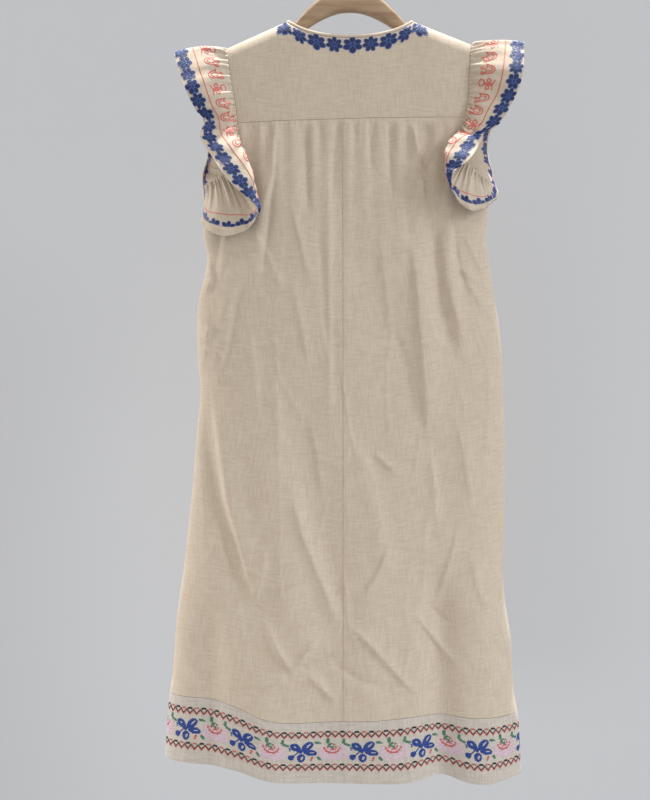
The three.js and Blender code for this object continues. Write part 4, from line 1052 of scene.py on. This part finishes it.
def line_shape(corners, width, height, colour, closed=False):
    """Raised bars of thread along a broken line."""
    parts = []
    ends = corners[1:] + corners[:1] if closed else corners[1:]
    for (x0, y0), (x1, y1) in zip(corners, ends):
        long = math.hypot(x1 - x0, y1 - y0)
        ux, uy = (x1 - x0) / long, (y1 - y0) / long
        over = width * 0.35
        steps = math.ceil((long + 2 * over) / LINE_STEP)
        points = []
        for k in range(steps + 1):
            at = mix(-over, long + over, k / steps)
            x, y = x0 + ux * at, y0 + uy * at
            for side, lift in ((-0.5, 0.1), (0, height), (0.5, 0.1)):
                points.append((x - uy * width * side, y + ux * width * side, lift))
        starts = range(0, 3 * steps, 3)
        faces = [(n + c, n + 3 + c, n + 4 + c, n + 1 + c) for n in starts for c in (0, 1)]
        parts.append((points, faces, [colour] * len(faces)))
    return gathered_shapes(parts)


def coral_motif(lines):
    return gathered_shapes([line_shape(c, CORAL_WIDTH, CORAL_HEIGHT, 0, closed) for c, closed in lines])


pot = coral_motif(pot_lines)
sprig = coral_motif(sprig_lines)


def even_places(points, row, pitch):
    """Columns of an even number of places, about a pitch apart, round one row of a closed cloth."""
    length = running_length(points[int(round(row))], closed=True)
    count = 2 * int(round(length[-1] / pitch / 2))
    return np.interp((np.arange(count) + 0.5) / count * length[-1], length, np.arange(len(length)))


FLOWER_PITCH = 22.5
MOTIF_PITCH = 23
flower_threads = [petal_thread, cord_thread]
for side, (item, points, normals, widths) in ruffles.items():
    flower_row, line_row, motif_row = np.interp([0.875, 0.645, 0.37], widths, np.arange(len(widths)))
    right_side = (points + normals * HALF_WALL, normals, True)
    wrong_side = (points - normals * HALF_WALL, -normals, True)
    places = []
    for k, column in enumerate(even_places(points, flower_row, FLOWER_PITCH)):
        shape, half = (bloom, 13.0) if k % 2 else (daisy, 12.6)
        places.append((flower_row, column, shape, half, half * 0.9, 0.25 * math.sin(k * 2.3)))
    flowers = embroidered(f"ruffle_flowers_{side}", right_side, places, flower_threads)
    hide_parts(f"ruffle_trim_{side}")
    behind = embroidered(f"ruffle_flowers_behind_{side}", wrong_side, places, flower_threads, lift=0.75)
    line = thread_line(f"coral_line_{side}", right_side, line_row, 1.4, 0.7)
    line_behind = thread_line(f"coral_line_behind_{side}", wrong_side, line_row, 1.2, 0.4)
    places = []
    for k, column in enumerate(even_places(points, motif_row, MOTIF_PITCH)):
        places.append((motif_row, column, pot if k % 3 else sprig, 1.1, 1.05, 0.2 * math.sin(k * 1.9)))
    motifs = embroidered(f"coral_motifs_{side}", right_side, places, coral_thread)
    for piece in (flowers, behind, line, line_behind, motifs):
        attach(piece, "root")
    first = int(np.interp(0.87, widths, np.arange(len(widths))))
    turned_up = points[first:] - normals[first:] * (HALF_WALL + 0.9)
    turned_up[0] += normals[first] * 0.7
    hem_sign = 1 if side == "left" else -1
    hem = cloth_object(f"ruffle_hem_{side}", turned_up, hem_sign, cotton, 0.4, closed=True)
    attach(hem, "root")


# Neck. A bias strip of the same cotton binds the edge, and one row of the blue flowers, daisies
# and blooms in turn, runs all round below it.
def neck_edge(points):
    edge = points[0]
    return edge[np.abs(edge[:, 0]) < NECK_HALF_WIDTH - 1]


# The binding's rounded section: out from the edge's middle and up from the edge.
binding_section = [
    (-1.4, 0.3), (-1.7, 1.4), (-1.65, 2.8), (-1.2, 4.0), (-0.5, 4.7),
    (0.5, 4.7), (1.2, 4.0), (1.65, 2.8), (1.7, 1.4), (1.4, 0.3),
]
neck_loop = np.concatenate([neck_edge(yokes["back"][0]), neck_edge(yokes["front"][0])[::-1]])
neck_way = unit(np.roll(neck_loop, -1, 0) - np.roll(neck_loop, 1, 0))
inward = neck_loop[:, 0] / NECK_HALF_WIDTH * -0.8
neck_up = np.stack([inward, np.zeros(len(neck_loop)), np.ones(len(neck_loop))], -1)
neck_up = unit(neck_up - neck_way * np.sum(neck_up * neck_way, -1, keepdims=True))
neck_out = np.cross(neck_way, neck_up)
binding_rows = [neck_loop + neck_out * (out - 0.8) + neck_up * up for out, up in binding_section]
binding_points = np.stack(binding_rows + binding_rows[:1])
binding = cloth_object("neck_binding_cloth", binding_points, -1, cotton, 0.5, closed=True)
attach(binding, "root")
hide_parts("neck_binding")

NECK_FLOWER_ROW = YOKE_EDGE_ROWS.index(9) + 0.7
for face, count, first_x, last_x in (("back", 9, -97, 103), ("front", 13, -88, 88)):
    points = yokes[face][0]
    row = int(NECK_FLOWER_ROW)
    length = running_length(points[row])
    first_at, last_at = np.interp([first_x, last_x], points[row, :, 0], length)
    columns = np.interp(np.linspace(first_at, last_at, count), length, np.arange(len(length)))
    places = []
    for k, column in enumerate(columns):
        shape, wide, tall = (daisy, 12.8, 12.0) if k % 2 else (bloom, 15.5, 13.0)
        places.append((NECK_FLOWER_ROW, column, shape, wide, tall, 0.0))
    chain = embroidered(f"neck_flowers_{face}", yokes[face], places, flower_threads)
    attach(chain, "root")
    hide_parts(f"neck_trim_{face}")


# Band pattern. Counted thread work in wool: between two zigzag borders with red and black caps,
# a blue flower, green leaves and a coral rose on a lilac ground, repeated round the hem.
CELL = 1.3
BAND_REPEAT = 89.0
HEART_DOWN = 46
ZIGZAG_PITCH = 10.6
BORDERS_DOWN = (16.6, 68.0)
band_threads = [
    thread_material("band_blue", (0.018, 0.055, 0.27), 0.7),
    thread_material("band_green", (0.075, 0.20, 0.14), 0.7),
    thread_material("band_coral", (0.52, 0.14, 0.12), 0.7),
    thread_material("band_lilac", (0.66, 0.51, 0.61), 0.8),
    thread_material("band_black", (0.018, 0.014, 0.018), 0.7),
]
BLUE, GREEN, CORAL, LILAC, BLACK, BARE = 0, 1, 2, 3, 4, -1
# Ovals in the order they are laid: colour, middle across and down, half sizes and tilt in degrees.
# The origin is the blue flower's heart. BARE leaves the cloth to show.
band_ovals = [
    (LILAC, 48, 4, 19, 11, 0),
    (LILAC, 58, 4, 13, 9, 10),
    (LILAC, 65, -7, 5, 5, 0),
    (LILAC, 36, -4, 6, 5, 0),
    (BARE, 40, -9, 7, 4, 0),
    (CORAL, 36.6, -4.6, 1.9, 2.4, 20),
    (CORAL, 39.6, -0.8, 2.2, 1.9, 40),
    (CORAL, 43.6, 1.6, 2.6, 1.7, 10),
    (CORAL, 48.2, 2.4, 2.6, 1.7, 0),
    (CORAL, 52.8, 1.6, 2.4, 1.7, -20),
    (CORAL, 56.6, -1.0, 2.2, 1.7, -40),
    (CORAL, 59.0, -4.4, 1.4, 2.2, -20),
    (CORAL, 41.4, -6.6, 1.5, 2.6, 0),
    (CORAL, 53.2, -6.4, 1.4, 2.6, 0),
    (CORAL, 48.4, -2.6, 4.6, 1.3, 0),
    (CORAL, 50.6, -10.6, 2.6, 1.2, 30),
    (GREEN, 46, -9.4, 4.6, 3.8, 0),
    (BARE, 47.6, -9.2, 2.4, 1.3, -30),
    (GREEN, 48.6, -5.6, 2.0, 1.2, 0),
    (GREEN, 41.5, -16.6, 2.6, 4.2, 0),
    (BLUE, -5.4, -7.6, 8.0, 5.8, 30),
    (BARE, -5.8, -8.2, 2.8, 0.8, 40),
    (BLUE, 12, -8.2, 9.8, 6.0, -42),
    (BARE, 13.8, -9.8, 4.8, 1.3, -42),
    (BLUE, 16.2, 1.4, 10.2, 4.9, 12),
    (BARE, 18.5, 1.6, 4.8, 0.8, 12),
    (BLUE, 3.2, 9.6, 5.8, 6.8, 0),
    (BARE, 4.4, 9.8, 1.6, 3.0, 20),
    (BLUE, -11.4, 8.8, 4.6, 4.6, 0),
    (BLUE, 2, -1, 3.4, 3.0, 0),
    (BLUE, -4.6, 3.6, 6.4, 1.1, -42),
    (BLUE, -9, -3.8, 9.0, 0.9, 22),
    (BLUE, -13.5, -3.0, 2.4, 0.9, 70),
    (GREEN, -24.4, -15.8, 2.4, 4.4, 8),
    (GREEN, -19.4, -10.6, 5.4, 1.9, 14),
    (GREEN, 27, -13.6, 5.6, 1.9, 12),
    (CORAL, 18.4, 11.2, 1.8, 3.8, 24),
    (GREEN, 29, 11, 4.4, 2.2, 42),
]


def band_chart():
    """The colour of each stitch of one repeat, worked out from the ovals."""
    numbers = np.random.default_rng(5)
    x, y = np.meshgrid(np.arange(-28, BAND_REPEAT - 28, CELL), np.arange(-27, 18, CELL))
    chart = np.full(x.shape, BARE)
    for colour, mid_x, mid_y, half_x, half_y, tilt in band_ovals:
        c, s = math.cos(math.radians(tilt)), math.sin(math.radians(tilt))
        for over in (0, BAND_REPEAT):
            u = ((x + over - mid_x) * c + (y - mid_y) * s) / half_x
            v = (-(x + over - mid_x) * s + (y - mid_y) * c) / half_y
            chart[u * u + v * v <= 1] = colour
    chart[(chart == LILAC) & (numbers.random(x.shape) < 0.22)] = BARE
    worked = chart != BARE
    return list(zip(x[worked], y[worked], chart[worked]))


def band_pieces(length, first):
    """Flat points (along, down, lift), faces and colours of the whole pattern on one band."""
    parts = []
    chart = band_chart()
    half = CELL * 0.5
    for n in range(-4, 5):
        for x, y, colour in chart:
            u, v = length / 2 + first + n * BAND_REPEAT + x, HEART_DOWN + y
            if 2 < u < length - 2:
                around = ((-half, -half), (half, -half), (half, half), (-half, half))
                points = [(u + a, v + b, 0.15) for a, b in around] + [(u, v, 0.55)]
                parts.append((points, [(0, 1, 4), (1, 2, 4), (2, 3, 4), (3, 0, 4)], [colour] * 4))
    teeth = int(length / ZIGZAG_PITCH)
    start = (length - teeth * ZIGZAG_PITCH) / 2
    for v in BORDERS_DOWN:
        for k in range(teeth):
            u = start + k * ZIGZAG_PITCH
            mid, end = u + ZIGZAG_PITCH / 2, u + ZIGZAG_PITCH
            cap = [(mid + a, v + b) for a, b in ((-2.5, -0.9), (-1.1, -1.5), (1.1, -1.5), (2.5, -0.9))]
            cap_width, cap_colour = (2.3, CORAL) if k % 2 else (2.8, BLACK)
            parts.append(line_shape([(u, v + 2.0), (mid, v + 8.2), (end, v + 2.0)], 1.4, 0.5, CORAL))
            parts.append(line_shape([(u, v), (mid, v + 6.2), (end, v)], 1.25, 0.7, BLACK))
            parts.append(line_shape(cap, cap_width, 0.9, cap_colour))
    return gathered_shapes(parts)


for face, first in (("back", 21.0), ("front", -4.0)):
    points, normals, closed = bands[face]
    rows, columns = points.shape[:2]
    length = running_length(points[rows // 2])
    flat, faces, colours = band_pieces(length[-1], first)
    row = np.interp(flat[:, 1], BAND_DOWN, np.arange(rows))
    column = np.interp(flat[:, 0], length, np.arange(columns))
    out = unit(sampled(normals, row, column, closed))
    laid = sampled(points, row, column, closed) + out * flat[:, 2:3]
    pattern = object_from(f"band_pattern_{face}", laid, faces, band_threads, smooth=False)
    pattern.data.polygons.foreach_set("material_index", colours)
    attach(pattern, "root")
